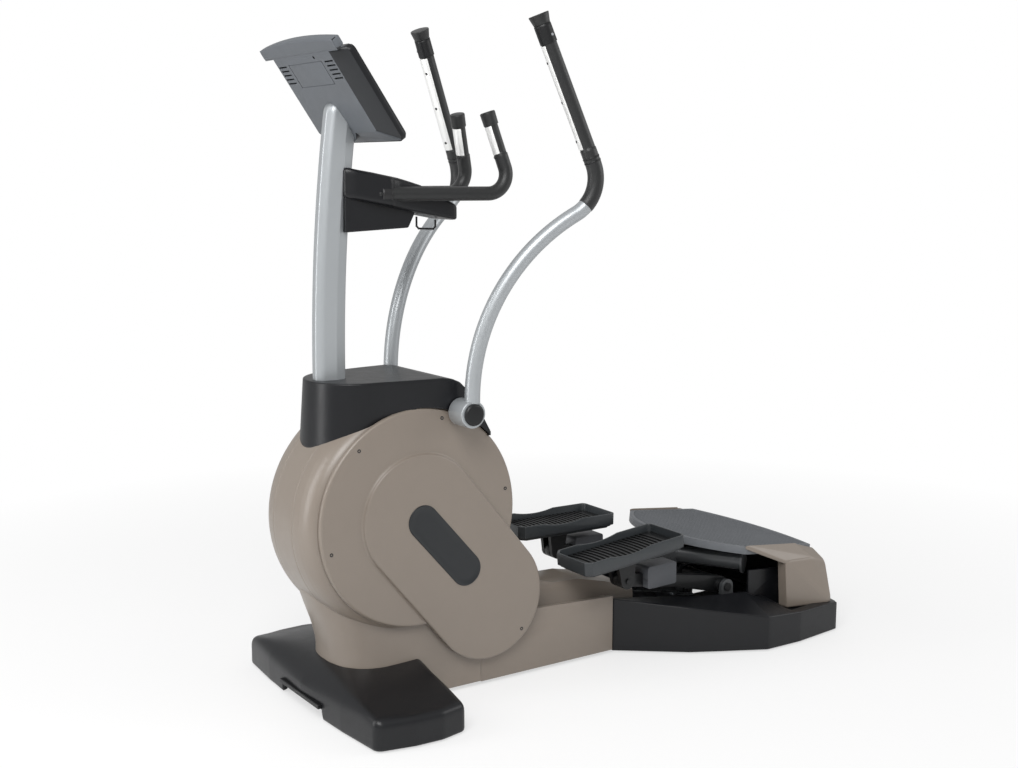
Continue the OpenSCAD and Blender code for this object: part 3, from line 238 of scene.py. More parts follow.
# ---- mesh helpers ----
def meshPiece(name, points, faces, finish, body, replaced=()):
    mesh = bpy.data.meshes.new(name)
    mesh.from_pydata([tuple(p) for p in np.asarray(points).tolist()], [], faces)
    mesh.validate()
    for polygon in mesh.polygons:
        polygon.use_smooth = True
    piece = bpy.data.objects.new(name, mesh)
    bpy.context.scene.collection.objects.link(piece)
    mesh.materials.append(finishes[finish])
    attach(piece, body)
    if replaced:
        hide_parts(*replaced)
    return piece


def gridFaces(rows, columns, closed=True):
    # quads of a rows x columns grid of points; closed joins the last column to the first
    r, c = np.meshgrid(np.arange(rows - 1), np.arange(columns if closed else columns - 1), indexing="ij")
    n = (c + 1) % columns
    quads = np.stack([r * columns + c, r * columns + n, (r + 1) * columns + n, (r + 1) * columns + c], -1)
    return quads.reshape(-1, 4).tolist()


def roundedCopy(name, node, finish, width, reshape=None, second=None):
    # a merged copy of a CAD node with softly rounded edges; second is (finish, test of the normals)
    source = frame["nodes"][node]
    bm = bmesh.new()
    bm.from_mesh(source.data)
    bmesh.ops.remove_doubles(bm, verts=bm.verts, dist=1e-5)
    bmesh.ops.dissolve_limit(bm, angle_limit=math.radians(0.6), verts=bm.verts, edges=bm.edges)
    mesh = bpy.data.meshes.new(name)
    bm.to_mesh(mesh)
    bm.free()
    if reshape:
        flat = np.array([v.co[:] for v in mesh.vertices])
        mesh.vertices.foreach_set("co", reshape(flat).astype(np.float32).ravel())
        mesh.update()
    mesh.materials.clear()
    mesh.materials.append(finishes[finish])
    if second:
        mesh.materials.append(finishes[second[0]])
    for polygon in mesh.polygons:
        polygon.use_smooth = True
        polygon.material_index = 1 if second and second[1](polygon.normal) else 0
    piece = bpy.data.objects.new(name, mesh)
    bpy.context.scene.collection.objects.link(piece)
    bevel = piece.modifiers.new("edge", "BEVEL")
    bevel.width, bevel.segments, bevel.limit_method = width, 2, "ANGLE"
    bevel.angle_limit = math.radians(28.0)
    bevel.harden_normals = True
    bevel.use_clamp_overlap = True
    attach(piece, nodeBody[node])
    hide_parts(node)
    return piece


rounded = {
    "beamCoverShell": ("beam_cover", "taupe", 0.004),
    "leftPedalTray": ("left_pedal", "pedal", 0.0018), "rightPedalTray": ("right_pedal", "pedal", 0.0018),
    "leftLeverBar": ("left_lever", "dark", 0.002), "rightLeverBar": ("right_lever", "dark", 0.002),
    "stepPlate": ("step_platform", "step", 0.0015),
    "rearPanelPlate": ("rear_panel", "charcoal", 0.002), "consoleFrame": ("console_bezel", "charcoal", 0.004),
    "leftHubDisc": ("left_hub_cap", "dark", 0.0015), "rightHubDisc": ("right_hub_cap", "dark", 0.0015),
}
for pieceName, (node, finish, width) in rounded.items():
    roundedCopy(pieceName, node, finish, width)


# metres: the cover keeps its form above keepZ, is shallower below it, and closes in behind frontX
knuckle = {"keepZ": 0.215, "depth": 0.6, "middleY": 0.165, "frontX": 0.19, "closing": 1.4}


def raisedFloor(p):
    # the underside of the knuckle cover is drawn up and the cover narrows towards the rear
    x, y, z = p.T
    low = np.where(z < knuckle["keepZ"], knuckle["keepZ"] + (z - knuckle["keepZ"]) * knuckle["depth"], z)
    side = np.sign(y) * knuckle["middleY"]
    return np.column_stack([x, side + (y - side) * (1.0 - knuckle["closing"] * np.maximum(x - knuckle["frontX"], 0.0)),
                            low])


for word in ("left", "right"):
    roundedCopy(word + "Knuckle", word + "_knuckle_cover", "knuckle", 0.004, reshape=raisedFloor)


def lowerRim(p):
    # the rim of the base lies under the deck drawn below
    z = p[:, 2]
    return np.column_stack([p[:, 0], p[:, 1] * 0.985, np.where(z > 0.085, 0.085 + (z - 0.085) * 0.7, z)])


roundedCopy("rearBaseInner", "rear_base", "charcoal", 0.002, reshape=lowerRim)
roundedCopy("consoleBack", "console_housing", "console", 0.003, second=("housingSide", lambda n: abs(n.y) > 0.45))
print("rounded copies made:", len(rounded))


# ---- surfaces from formulas; lengths in millimetres until they're built ----
def build(name, rings, finish, node, closed=True, caps=(True, True), mirror=False, replaced=(), flip=False,
          weld=False):
    # rings of points, each ring closed, one after another; the caps fan to the ring's middle
    rings = np.asarray(rings, float) / 1000.0
    if mirror:
        rings = rings * np.array([1.0, -1.0, 1.0])
    rows, columns = rings.shape[:2]
    points = rings.reshape(-1, 3)
    faces = gridFaces(rows, columns, closed)
    c = np.arange(columns)
    n = (c + 1) % columns
    for end, row in ((0, 0), (1, rows - 1)):
        if caps[end]:
            points = np.vstack([points, rings[row].mean(0)])
            middle = np.full(columns, len(points) - 1)
            order = (n, c) if end == 0 else (c, n)
            faces += np.stack([row * columns + order[0], row * columns + order[1], middle], -1).tolist()
    if flip != mirror:
        faces = [f[::-1] for f in faces]
    piece = meshPiece(name, points, faces, finish, nodeBody[node], replaced)
    if weld:
        bm = bmesh.new()
        bm.from_mesh(piece.data)
        bmesh.ops.remove_doubles(bm, verts=bm.verts, dist=1e-6)
        bm.to_mesh(piece.data)
        bm.free()
    return piece


def roundPlan(corners, count=240):
    # closed outline with rounded corners (x, y, radius), evenly spaced points
    pts = []
    k = len(corners)
    for i in range(k):
        p = np.array(corners[i][:2], float)
        a = np.array(corners[i - 1][:2], float) - p
        b = np.array(corners[(i + 1) % k][:2], float) - p
        la, lb = np.linalg.norm(a), np.linalg.norm(b)
        a, b = a / la, b / lb
        half = math.acos(max(-1.0, min(1.0, float(a @ b)))) / 2
        reach = min(corners[i][2] / math.tan(half), la * 0.49, lb * 0.49)
        r = reach * math.tan(half)
        middle = p + (a + b) / np.linalg.norm(a + b) * r / math.sin(half)
        s0, s1 = p + a * reach - middle, p + b * reach - middle
        t = np.linspace(0.0, 1.0, 13)[:, None]
        arc = s0 * (1 - t) + s1 * t
        pts.append(middle + arc / np.linalg.norm(arc, axis=1, keepdims=True) * r)
    pts = np.vstack(pts)
    ring = np.vstack([pts, pts[:1]])
    along = np.concatenate([[0.0], np.cumsum(np.linalg.norm(np.diff(ring, axis=0), axis=1))])
    at = np.linspace(0.0, along[-1], count, endpoint=False)
    return np.stack([np.interp(at, along, ring[:, 0]), np.interp(at, along, ring[:, 1])], -1)


def inward(plan):
    # unit normals of a counter-clockwise outline, pointing in
    t = np.roll(plan, -1, 0) - np.roll(plan, 1, 0)
    n = np.stack([-t[:, 1], t[:, 0]], -1)
    return n / np.linalg.norm(n, axis=1, keepdims=True)


def hullPiece(name, points, finish, node, width, replaced=(), mirror=False):
    # the convex solid round some points, its edges rounded
    mesh = bpy.data.meshes.new(name)
    bm = bmesh.new()
    for p in points:
        bm.verts.new((p[0] / 1000, (-1 if mirror else 1) * p[1] / 1000, p[2] / 1000))
    made = bmesh.ops.convex_hull(bm, input=bm.verts)
    inner = [g for g in made["geom_interior"] if isinstance(g, bmesh.types.BMVert)]
    bmesh.ops.delete(bm, geom=inner, context="VERTS")
    bmesh.ops.dissolve_limit(bm, angle_limit=math.radians(1.0), verts=bm.verts, edges=bm.edges)
    bmesh.ops.recalc_face_normals(bm, faces=bm.faces)
    bm.to_mesh(mesh)
    bm.free()
    mesh.materials.append(finishes[finish])
    for polygon in mesh.polygons:
        polygon.use_smooth = True
    piece = bpy.data.objects.new(name, mesh)
    bpy.context.scene.collection.objects.link(piece)
    bevel = piece.modifiers.new("edge", "BEVEL")
    bevel.width, bevel.segments, bevel.limit_method = width / 1000, 4, "ANGLE"
    bevel.angle_limit = math.radians(8)
    bevel.harden_normals = True
    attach(piece, nodeBody[node])
    if replaced:
        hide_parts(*replaced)
    return piece


def evenNormals(piece):
    # flat stretches keep flat shading beside tight rounds
    piece.modifiers.new("flats", "WEIGHTED_NORMAL").keep_sharp = False


def squared(wave, power):
    # a wave flattened toward plus and minus one
    return np.sign(wave) * np.abs(wave) ** power


def smooth(t):
    t = np.clip(t, 0.0, 1.0)
    return t * t * (3 - 2 * t)


# ---- drum housing ----
drum = {"at": (-499.0, 470.0), "crank": (-306.0, 237.0), "half": 125.0, "crownAt": (-507.0, 465.0),
        "crownR": 296.0, "shellR": 267.0, "coverR": 272.0, "faceY": 140.0, "bossR": 160.0, "bossY": 148.0}
drumAt, crankAt = np.array(drum["at"]), np.array(drum["crank"])
toCrank = crankAt - drumAt
reachOut = float(np.linalg.norm(toCrank))
slant = math.atan2(toCrank[1], toCrank[0])


def stadiumReach(theta, r):
    # distance from the drum's middle to the rim of the stadium round drum and crank
    phi = np.mod(theta - slant + math.pi, 2 * math.pi) - math.pi
    side = r / np.maximum(np.abs(np.sin(phi)), 1e-6)
    straight = side * np.cos(phi) <= reachOut
    cap = reachOut * np.cos(phi) + np.sqrt(np.maximum(r * r - (reachOut * np.sin(phi)) ** 2, 0.0))
    return np.where(np.cos(phi) <= 0, r, np.where(straight, side, cap))


def crownDrop(d):
    # how far the rounded crown lies below its top, d from its side face
    near = np.array([0.0, 2.0, 5.0, 10.0, 15.0, 22.0, 30.0, 45.0, 64.0, 82.0, 200.0])
    drop = np.array([31.0, 27.0, 22.8, 18.2, 14.8, 11.2, 8.0, 4.0, 1.2, 0.0, 0.0])
    fine = np.linspace(0.0, 200.0, 401)
    curve = np.interp(fine, near, drop)
    soft = np.convolve(np.pad(curve, 6, mode="edge"), np.ones(13) / 13, "valid")
    soft = np.where(fine < 3.0, curve, soft)
    return np.interp(d, fine, soft)


theta = np.linspace(0.0, 2 * math.pi, 720, endpoint=False)
across = np.concatenate([[-125.0, -124.6], np.linspace(-124, -52, 34), [-50.9, -50.4, -49.9, -49.4, -48.6],
                         np.linspace(-47, 47, 24), [48.6, 49.4, 49.9, 50.4, 50.9], np.linspace(52, 124, 34),
                         [124.6, 125.0]])
rearR = np.maximum(drum["shellR"], stadiumReach(theta, 154.0))
crownShare = smooth((theta - math.radians(88)) / 0.12) * smooth((math.radians(272) - theta) / 0.25)
rings = []
for y in across:
    groove = 0.9 * max(0.0, 1.0 - abs(abs(y) - 50.4) / 0.9)
    front = drum["crownR"] - crownDrop(drum["half"] - abs(y)) - groove
    crown = np.stack([drum["crownAt"][0] + front * np.cos(theta), drum["crownAt"][1] + front * np.sin(theta)], -1)
    rear = np.stack([drumAt[0] + rearR * np.cos(theta), drumAt[1] + rearR * np.sin(theta)], -1)
    p = rear + (crown - rear) * crownShare[:, None]
    rings.append(np.column_stack([p[:, 0], np.full(720, y), p[:, 1]]))
drumShell = build("drumShell", rings, "taupe", "front_shell", replaced=("front_shell",))
# the crown is open under the neck, where the arm links pass; metres
opening = {"front": -0.52, "rear": -0.33, "half": 0.105, "above": 0.68}
bm = bmesh.new()
bm.from_mesh(drumShell.data)
middles = [(f, f.calc_center_median()) for f in bm.faces]
under = [f for f, at in middles
         if opening["front"] < at.x < opening["rear"] and abs(at.y) < opening["half"] and at.z > opening["above"]]
bmesh.ops.delete(bm, geom=under, context="FACES")
bm.to_mesh(drumShell.data)
bm.free()

# the foot of the housing: its plan is a wide nose that grows into straight sides
pedestal = {"nose": 116.0, "rear": -316.0}
levels = np.array([12.0, 13.5, 17.0, 88.0, 97.0, 104.0, 111.0, 118.0, 130.0, 150.0, 175.0, 200.0, 225.0,
                   250.0, 280.0, 330.0])
noseX = np.interp(levels, [12, 88, 97, 111, 130, 160, 200, 240, 280, 330],
                  [-640, -640, -699, -698, -698, -703, -715, -730, -744, -762])
halfW = np.interp(levels, [12, 17, 88, 97, 111, 130, 160, 200, 240, 280, 330],
                  [122, 125, 125, 132, 132, 128, 123, 119, 117, 116, 112])
rings = []
turnAt = np.linspace(-1.0, 1.0, 121)
for z, x0, w in zip(levels, noseX, halfW):
    y = w * np.sin(turnAt * math.pi / 2)
    x = x0 + pedestal["nose"] * (1 - (1 - np.minimum(np.abs(y / w), 1.0) ** 2.5) ** (1 / 2.5))
    back = np.linspace(x0 + pedestal["nose"], pedestal["rear"], 60)[1:]
    # behind the nose the sides settle to the width of the beam
    side = w + (125.0 - w) * smooth((back - (x0 + pedestal["nose"])) / 130.0)
    ring = np.concatenate([np.stack([x, y], -1), np.stack([back, side], -1), np.stack([back[::-1], -side[::-1]], -1)])
    rings.append(np.column_stack([ring, np.full(len(ring), z)]))
build("drumPedestal", rings[::-1], "taupe", "front_shell", replaced=("front_shell",))

# round side covers with a raised stadium boss
for side, word in ((-1.0, "left"), (1.0, "right")):
    node = word + "_side_cover"
    rim = np.maximum(drum["coverR"], stadiumReach(theta, 156.0))
    rows = [(126.0, -4.0), (127.5, -0.6), (129.0, 0.0), (134.0, 0.0), (136.2, -0.5), (137.9, -1.7), (139.2, -3.4),
            (139.9, -5.6), (140.0, -8.0), (140.0, -60.0), (140.0, -150.0), (140.0, -240.0)]
    rings = []
    for y, grow in rows:
        r = np.maximum(rim + grow, 2.0)
        rings.append(np.column_stack([drumAt[0] + r * np.cos(theta), np.full(720, side * y),
                                      drumAt[1] + r * np.sin(theta)]))
    build(word + "CoverDisc", rings, "taupe", node, flip=side > 0, replaced=(node,))
    # every point of the stadium is its axis point plus a unit normal times a reach
    boss = drum["bossR"]
    lap = np.linspace(0.0, 1.0, 720, endpoint=False) * (2 * math.pi * boss + 2 * reachOut)
    arc = math.pi * boss
    angle = np.where(lap < arc, lap / boss, np.where(lap < arc + reachOut, math.pi, np.where(
        lap < 2 * arc + reachOut, (lap - reachOut) / boss, 2 * math.pi))) + slant - math.pi / 2
    share = np.where(lap < arc, 1.0, np.where(lap < arc + reachOut, 1.0 - (lap - arc) / reachOut, np.where(
        lap < 2 * arc + reachOut, 0.0, (lap - 2 * arc - reachOut) / reachOut)))
    base = drumAt + share[:, None] * toCrank
    out = np.stack([np.cos(angle), np.sin(angle)], -1)
    inside = np.clip((drum["coverR"] - 6.0 - np.linalg.norm(base + out * boss - drumAt, axis=1)) / 12.0, 0.0, 1.0)
    rows = [(127.0, 0.0), (139.7, 6.0), (140.3, 3.8), (141.2, 2.0), (142.5, 0.8), (144.0, 0.0), (145.2, -0.3),
            (146.4, -1.1), (147.3, -2.4), (147.9, -4.2), (148.0, -6.5), (148.0, -60.0), (148.0, -120.0),
            (148.0, -160.0)]
    rings = []
    for y, grow in rows:
        r = boss + (grow * inside if grow > 0 else np.full(720, grow))
        p = base + out * r[:, None]
        rings.append(np.column_stack([p[:, 0], np.full(720, side * y), p[:, 1]]))
    build(word + "CoverBoss", rings, "taupe", node, caps=(False, False), flip=side < 0, replaced=(node,), weld=True)
    # bare badge pad with a raised edge
    middle, along = np.array([-436.0, 393.0]), np.array([0.66, -0.751])
    badge = {"reach": 92.0, "r": 42.0}
    turn = np.linspace(0.0, 2 * math.pi, 160, endpoint=False)
    ends = np.where(np.cos(turn) >= 0, badge["reach"], -badge["reach"])[:, None] * along
    normal = np.cos(turn)[:, None] * along + np.sin(turn)[:, None] * np.array([0.751, 0.66])
    rows = [(147.0, 0.0), (149.3, 0.0), (150.0, -0.8), (150.2, -2.0), (150.0, -3.2), (149.2, -4.2),
            (149.2, -20.0), (149.2, -42.0)]
    rings = []
    for y, grow in rows:
        p = middle + ends + normal * (badge["r"] + grow)
        rings.append(np.column_stack([p[:, 0], np.full(160, side * y), p[:, 1]]))
    build(word + "BadgePad", rings, "badge", node, caps=(False, False), flip=side < 0, replaced=(node,), weld=True)
# sunk screws round the covers
screws = {"reach": 250.0, "angles": (76.0, 132.0, 192.5, 10.0), "r": 4.6}
spots = [drumAt + screws["reach"] * np.array([math.cos(math.radians(a)), math.sin(math.radians(a))])
         for a in screws["angles"]]
spots.append(crankAt + 141.0 * np.array([math.cos(math.radians(-45)), math.sin(math.radians(-45))]))
turn = np.linspace(0.0, 2 * math.pi, 32, endpoint=False)
for i, spot in enumerate(spots):
    face = drum["bossY"] if i == len(spots) - 1 else drum["faceY"]
    for side, word in ((-1.0, "left"), (1.0, "right")):
        head = ((-2.0, screws["r"]), (0.5, screws["r"]), (0.9, screws["r"] - 0.5), (0.9, 2.4), (-0.6, 2.0))
        rings = [np.column_stack([spot[0] + r * np.cos(turn), np.full(32, side * (face + y)),
                                  spot[1] + r * np.sin(turn)]) for y, r in head]
        build("coverScrew_%s_%d" % (word, i), rings, "blackHard", "cover_screws", flip=side > 0,
              replaced=("cover_screws",))

# ---- front foot ----
foot = {"edge": 75.0, "rise": 36.0, "frontRun": 62.0, "sideRun": 240.0, "opening": 32.0}
corners = [(-766, 0, 50), (-758, -200, 80), (-745, -352, 24), (-650, -371, 60), (-580, -374, 60), (-508, -358, 18),
           (-502, -200, 80), (-474, 0, 50), (-502, 200, 80), (-508, 358, 18), (-580, 374, 60), (-650, 371, 60),
           (-745, 352, 24), (-758, 200, 80)]
plan = roundPlan(corners, 520)
n = inward(plan)


def footTop(q):
    # rises from the front edge and from the ends: 1 - (1 - t)^1.6, t a soft minimum of the two
    front = np.maximum((q[:, 0] + 760.0) / foot["frontRun"], 0.01)
    ends = np.maximum((352.0 - np.abs(q[:, 1])) / foot["sideRun"], 0.01)
    t = np.clip((front ** -4.0 + ends ** -4.0) ** -0.25, 0.0, 1.0)
    return foot["edge"] + foot["rise"] * (1 - (1 - t) ** 1.6)


low = 4.0 + foot["opening"] * smooth((112.0 - np.abs(plan[:, 1])) / 4.0) * (plan[:, 0] < -700)
rows = [np.column_stack([plan + n * inset, low + back])
        for inset, back in ((14.0, 3.0), (4.5, 0.0), (3.0, 0.6), (1.0, 3.0), (0.0, 8.0))]
for inset, drop in ((0.2, 24.0), (0.8, 16.0), (2.4, 10.5), (5.5, 5.2), (10.5, 1.7), (16.0, 0.0)):
    q = plan + n * inset
    rows.append(np.column_stack([q, footTop(q) - drop]))
middle = np.column_stack([np.full(520, -600.0), np.clip(plan[:, 1], -105, 105)])
for k in (0.06, 0.14, 0.24, 0.36, 0.5, 0.66, 0.84, 1.0):
    q = plan + n * 16.0
    q = q + (middle - q) * k
    rows.append(np.column_stack([q, footTop(q)]))
build("footShell", rows, "charcoal", "front_foot", caps=(False, False), replaced=("front_foot",), weld=True)
hullPiece("footRail", [(x, y, z) for x in (-771, -755) for y in (-108, 108) for z in (31, 42)],
          "dark", "front_foot", 2.0, ("front_foot",))
print("drum housing made")

# ---- neck cover ----
neck = {"topZ": 811.0, "rearX": -300.0}
noseTurn = np.linspace(0.0, math.pi * 85 / 180, 70)
nosePart = np.stack([-606.0 - 122.0 * np.cos(noseTurn), 122.0 * np.sin(noseTurn)], -1)
flankX = np.linspace(-590.0, neck["rearX"], 90)
flankY = np.interp(flankX, [-600, -560, -515, -470, -400, -340, -280],
                   [122.0, 130.5, 137.5, 141.8, 148.0, 147.4, 145.0])
halfPlan = np.vstack([nosePart, np.stack([flankX, flankY], -1)])
planRing = np.vstack([halfPlan, halfPlan[:0:-1] * [1.0, -1.0]])
px, py = planRing[:, 0], planRing[:, 1]


def topAt(x):
    # the top is level, then falls toward the hub
    return np.interp(x, [-760, -436, -412, -390, -352, -326, -300],
                     [neck["topZ"], neck["topZ"], 807.5, 798.0, 761.0, 713.0, 668.0])


def seamAt(x, y):
    # height of the drum under the cover's edge
    r = drum["crownR"] - crownDrop(np.maximum(drum["half"] - np.abs(y), 0.0))
    crown = drum["crownAt"][1] + np.sqrt(np.maximum(r * r - (x - drum["crownAt"][0]) ** 2, 0.0))
    disc = drumAt[1] + np.sqrt(np.maximum(272.6 ** 2 - (x - drumAt[0]) ** 2, 0.0))
    return np.where(np.abs(y) > 124.0, disc, crown)


n = inward(planRing[::-1])[::-1]
low = seamAt(px, py)
front = smooth((-600.0 - px) / 110.0)
hidden = np.where(np.abs(py) < 138.0, 14.0, 0.0)
edge = topAt(px) - 4.0
rings = [np.column_stack([px + n[:, 0] * 9.0, py + n[:, 1] * 9.0, low - hidden])]
for share in (1.0, 0.96, 0.8, 0.6, 0.4, 0.2, 0.06, 0.0):
    # share 1 is the lower edge, 0 the edge of the top
    flare = 10.0 * front * share
    rings.append(np.column_stack([px - n[:, 0] * flare, py - n[:, 1] * flare, edge - share * (edge - low + hidden)]))
for t in np.linspace(0.2, 1.0, 5) * math.pi / 2:
    inset = 4.0 * (1 - math.cos(t))
    rings.append(np.column_stack([px + n[:, 0] * inset, py + n[:, 1] * inset, edge + 4.0 * math.sin(t)]))
last = rings[-1]
for k in (0.9, 0.6, 0.3, 0.0):
    # the top closes toward its middle line
    rings.append(np.column_stack([np.where(last[:, 0] < -606, -606 + (last[:, 0] + 606) * k, last[:, 0]),
                                  last[:, 1] * k, last[:, 2]]))
build("neckShell", rings, "charcoal", "neck_cover", caps=(False, False), replaced=("neck_cover",), weld=True)
print("neck made")


# ---- tubes along a path in an upright plane ----
def route(start, heading, moves):
    # columns x, z, heading, length; a move is (length,) or (turn in degrees, bend radius)
    x, z, a, done = start[0], start[1], math.radians(heading), 0.0
    rows = [(x, z, a, 0.0)]
    for move in moves:
        if len(move) == 1:
            x, z, done = x + move[0] * math.cos(a), z + move[0] * math.sin(a), done + move[0]
            rows.append((x, z, a, done))
            continue
        total, bend = math.radians(move[0]), move[1]
        s = 1.0 if total > 0 else -1.0
        cx, cz = x - bend * s * math.sin(a), z + bend * s * math.cos(a)
        steps = max(6, int(abs(total) * bend))
        for i in range(1, steps + 1):
            b = a + total * i / steps
            rows.append((cx + bend * s * math.sin(b), cz - bend * s * math.cos(b), b,
                         done + abs(total) * bend * i / steps))
        x, z, a, done = rows[-1]
    return np.array(rows)


def dense(profile):
    # the same profile with more stations on its long stretches
    out = [profile[0]]
    for (s0, r0), (s1, r1) in zip(profile[:-1], profile[1:]):
        count = max(1, int(abs(s1 - s0) / 5.0))
        out += [(s0 + (s1 - s0) * i / count, r0 + (r1 - r0) * i / count) for i in range(1, count + 1)]
    return np.array(out)


def onPath(path, length, out, side):
    # a point at a length along the path, out in the plane and side across it
    at = np.clip(length, path[0, 3], path[-1, 3])
    x, z, a = (np.interp(at, path[:, 3], path[:, i]) for i in range(3))
    over = length - at
    x, z = x + over * np.cos(a), z + over * np.sin(a)
    return np.stack([x - np.sin(a) * out, np.broadcast_to(side, x.shape), z + np.cos(a) * out], -1)


def tube(name, path, profile, finish, node, place, replaced):
    # rings of radius r at each length of the path
    profile = dense(profile)
    turnRound = np.linspace(0.0, 2 * math.pi, 64, endpoint=False)
    s, r = profile[:, :1] + 0 * turnRound, profile[:, 1:]
    rings = place(onPath(path, s, r * np.cos(turnRound), r * np.sin(turnRound)))
    flat = rings[len(rings) // 2]
    axis = rings[len(rings) // 2 + 1].mean(0) - flat.mean(0)
    turnWay = np.cross(flat[0] - flat.mean(0), flat[1] - flat.mean(0)) @ axis
    return build(name, rings, finish, node, flip=turnWay < 0, replaced=replaced)


def sleeve(name, path, low, high, r, thick, middle, spread, finish, node, place, replaced):
    # a curved plate on a tube, its middle at an angle round the tube, with rounded ends
    turnRound = np.radians(middle + spread * np.linspace(-0.5, 0.5, 25))
    shape = np.concatenate([np.stack([np.full(25, r), turnRound], -1),
                            np.stack([np.full(25, r + thick), turnRound[::-1]], -1)])
    rings = []
    for s, inset in ((low, 1.0), (low + 0.3, 0.3), (low + 1.0, 0.0), (high - 1.0, 0.0), (high - 0.3, 0.3), (high, 1.0)):
        rr = np.where(shape[:, 0] > r, r + thick - inset * thick * 0.6, r)
        rings.append(place(onPath(path, np.full(50, s), rr * np.cos(shape[:, 1]), rr * np.sin(shape[:, 1]))))
    rings = np.array(rings)
    flat = rings[2] - rings[2].mean(0)
    axis = rings[3].mean(0) - rings[2].mean(0)
    area = np.cross(flat, np.roll(flat, -1, 0)).sum(0) @ axis
    return build(name, rings, finish, node, flip=area < 0, replaced=replaced)


def dot(name, path, at, r, angle, size, rise, finish, node, place, replaced):
    # a small round head that stands on a tube
    turnRound = np.linspace(0.0, 2 * math.pi, 24, endpoint=False)
    a = math.radians(angle)
    rings = []
    for out, grow in ((-1.0, 1.0), (rise * 0.6, 1.0), (rise * 0.9, 0.85), (rise, 0.6)):
        across = size * grow * np.cos(turnRound)
        rings.append(place(onPath(path, at + size * grow * np.sin(turnRound),
                                  (r + out) * math.cos(a) - across * math.sin(a),
                                  (r + out) * math.sin(a) + across * math.cos(a))))
    rings = np.array(rings)
    flat = rings[0] - rings[0].mean(0)
    area = np.cross(flat, np.roll(flat, -1, 0)).sum(0) @ (rings[2].mean(0) - rings[0].mean(0))
    return build(name, rings, finish, node, flip=area < 0, replaced=replaced)


# ---- swinging arms ----
arm = {"pivot": (-394.0, 727.0), "y": 200.0, "turn": 19.4, "tubeR": 19.0, "gripR": 20.0, "gripL": 369.0, "horn": 25.0}


def armPlace(side):
    # the upright plane of an arm, turned outward; the right one stands 1.5 degrees forward
    lead = math.radians(1.5) if side > 0 else 0.0
    turnOut = math.radians(arm["turn"])
    foot = arm["pivot"][0] + 5.0

    def place(p):
        x, y, z = p[..., 0] - foot, p[..., 1], p[..., 2]
        x, y = (foot + x * math.cos(turnOut) - y * math.sin(turnOut),
                arm["y"] + x * math.sin(turnOut) + y * math.cos(turnOut))
        dx, dz = x - arm["pivot"][0], z - arm["pivot"][1]
        x = arm["pivot"][0] + dx * math.cos(lead) - dz * math.sin(lead)
        z = arm["pivot"][1] + dz * math.cos(lead) + dx * math.sin(lead)
        return np.stack([x, side * y, z], -1)
    return place


armPath = route((arm["pivot"][0] + 5.0, arm["pivot"][1]), 90.0, [(34.0,), (-60.2, 512.0), (18.0, 97.0)])
gripPath = route(armPath[-1, :2], math.degrees(armPath[-1, 2]), [(64.2, 97.0), (arm["gripL"],)])
handStart = gripPath[-2, 3]
lap = np.linspace(0.0, 2 * math.pi, 96, endpoint=False)
for side, word in ((-1.0, "left"), (1.0, "right")):
    place = armPlace(side)
    node = word + "_arm"
    end = armPath[-1, 3]
    tube(word + "ArmTube", armPath, [(24.0, 18.0), (24.0, arm["tubeR"]), (end - 0.6, arm["tubeR"]), (end + 3.0, 18.0)],
         "silver", node, place, (node,))
    rings = []
    for y, r in ((66.5, 25.0), (67.0, 26.0), (150.0, 26.0), (151.0, 30.0), (151.3, 32.6), (152.4, 33.7), (154.0, 34.0),
                 (211.0, 34.0), (212.8, 33.6), (213.8, 32.6), (214.0, 31.0), (214.0, 12.5)):
        rings.append(np.column_stack([arm["pivot"][0] + r * np.cos(lap), np.full(96, side * y),
                                      arm["pivot"][1] + r * np.sin(lap)]))
    build(word + "ArmHub", rings, "silver", node, flip=side > 0, replaced=(node,))
    top = np.array([arm["pivot"][0] + 42.0 * math.cos(math.radians(arm["horn"])),
                    arm["pivot"][1] - 42.0 * math.sin(math.radians(arm["horn"]))])
    unit = np.stack([np.cos(lap), np.sin(lap)], -1)
    far = unit @ (top - np.array(arm["pivot"])) + 12.0 > 22.0
    outline = np.where(far[:, None], top + 12.0 * unit, np.array(arm["pivot"]) + 22.0 * unit)
    rings = [np.column_stack([outline[:, 0], np.full(96, side * y), outline[:, 1]]) for y in (66.0, 74.0)]
    build(word + "ArmHorn", rings, "silver", node, flip=side > 0, replaced=(node,))
    # foam sleeve with two dark rings below and a flared end
    total = gripPath[-1, 3]
    node = word + "_arm_grip"
    tube(word + "GripSleeve", gripPath, [(0.0, 19.2), (0.0, 19.7), (0.6, arm["gripR"]),
         (handStart + 36.0, arm["gripR"]), (handStart + 37.0, 18.9), (total - 24.0, 18.9), (total - 23.0, arm["gripR"]),
         (total - 2.5, 24.6), (total + 0.4, 25.0), (total + 1.4, 24.4), (total + 1.8, 22.5)],
         "rubber", node, place, (node,))
    tube(word + "GripPad", gripPath, [(handStart + 300.0, 19.2), (handStart + 300.2, 20.6), (handStart + 301.0, 21.0),
         (total - 24.0, 21.0), (total - 23.4, 20.2)], "dark", node, place, (node,))
    for i, at in enumerate((handStart + 2.0, handStart + 12.0)):
        tube(word + "GripRing%d" % i, gripPath, [(at, 19.8), (at + 0.4, 20.7), (at + 4.0, 20.7), (at + 4.4, 19.8)],
             "dark", node, place, (node,))
    dot(word + "GripButton", gripPath, total - 52.0, 21.0, 118.0 if side < 0 else 62.0, 3.4, 1.6, "keyGrey",
        node, place, (node,))
    node = word + "_arm_sensor"
    sleeve(word + "ArmPlate", gripPath, handStart + 40.0, handStart + 298.0, 18.8, 1.9, 0.0, 78.0,
           "plate", node, place, (node,))
    for i, at in enumerate((62.0, 160.0, 258.0)):
        dot(word + "PlateScrew%d" % i, gripPath, handStart + at, 20.6, 0.0, 3.6, 1.0, "blackHard", node, place, (node,))
print("arms made")

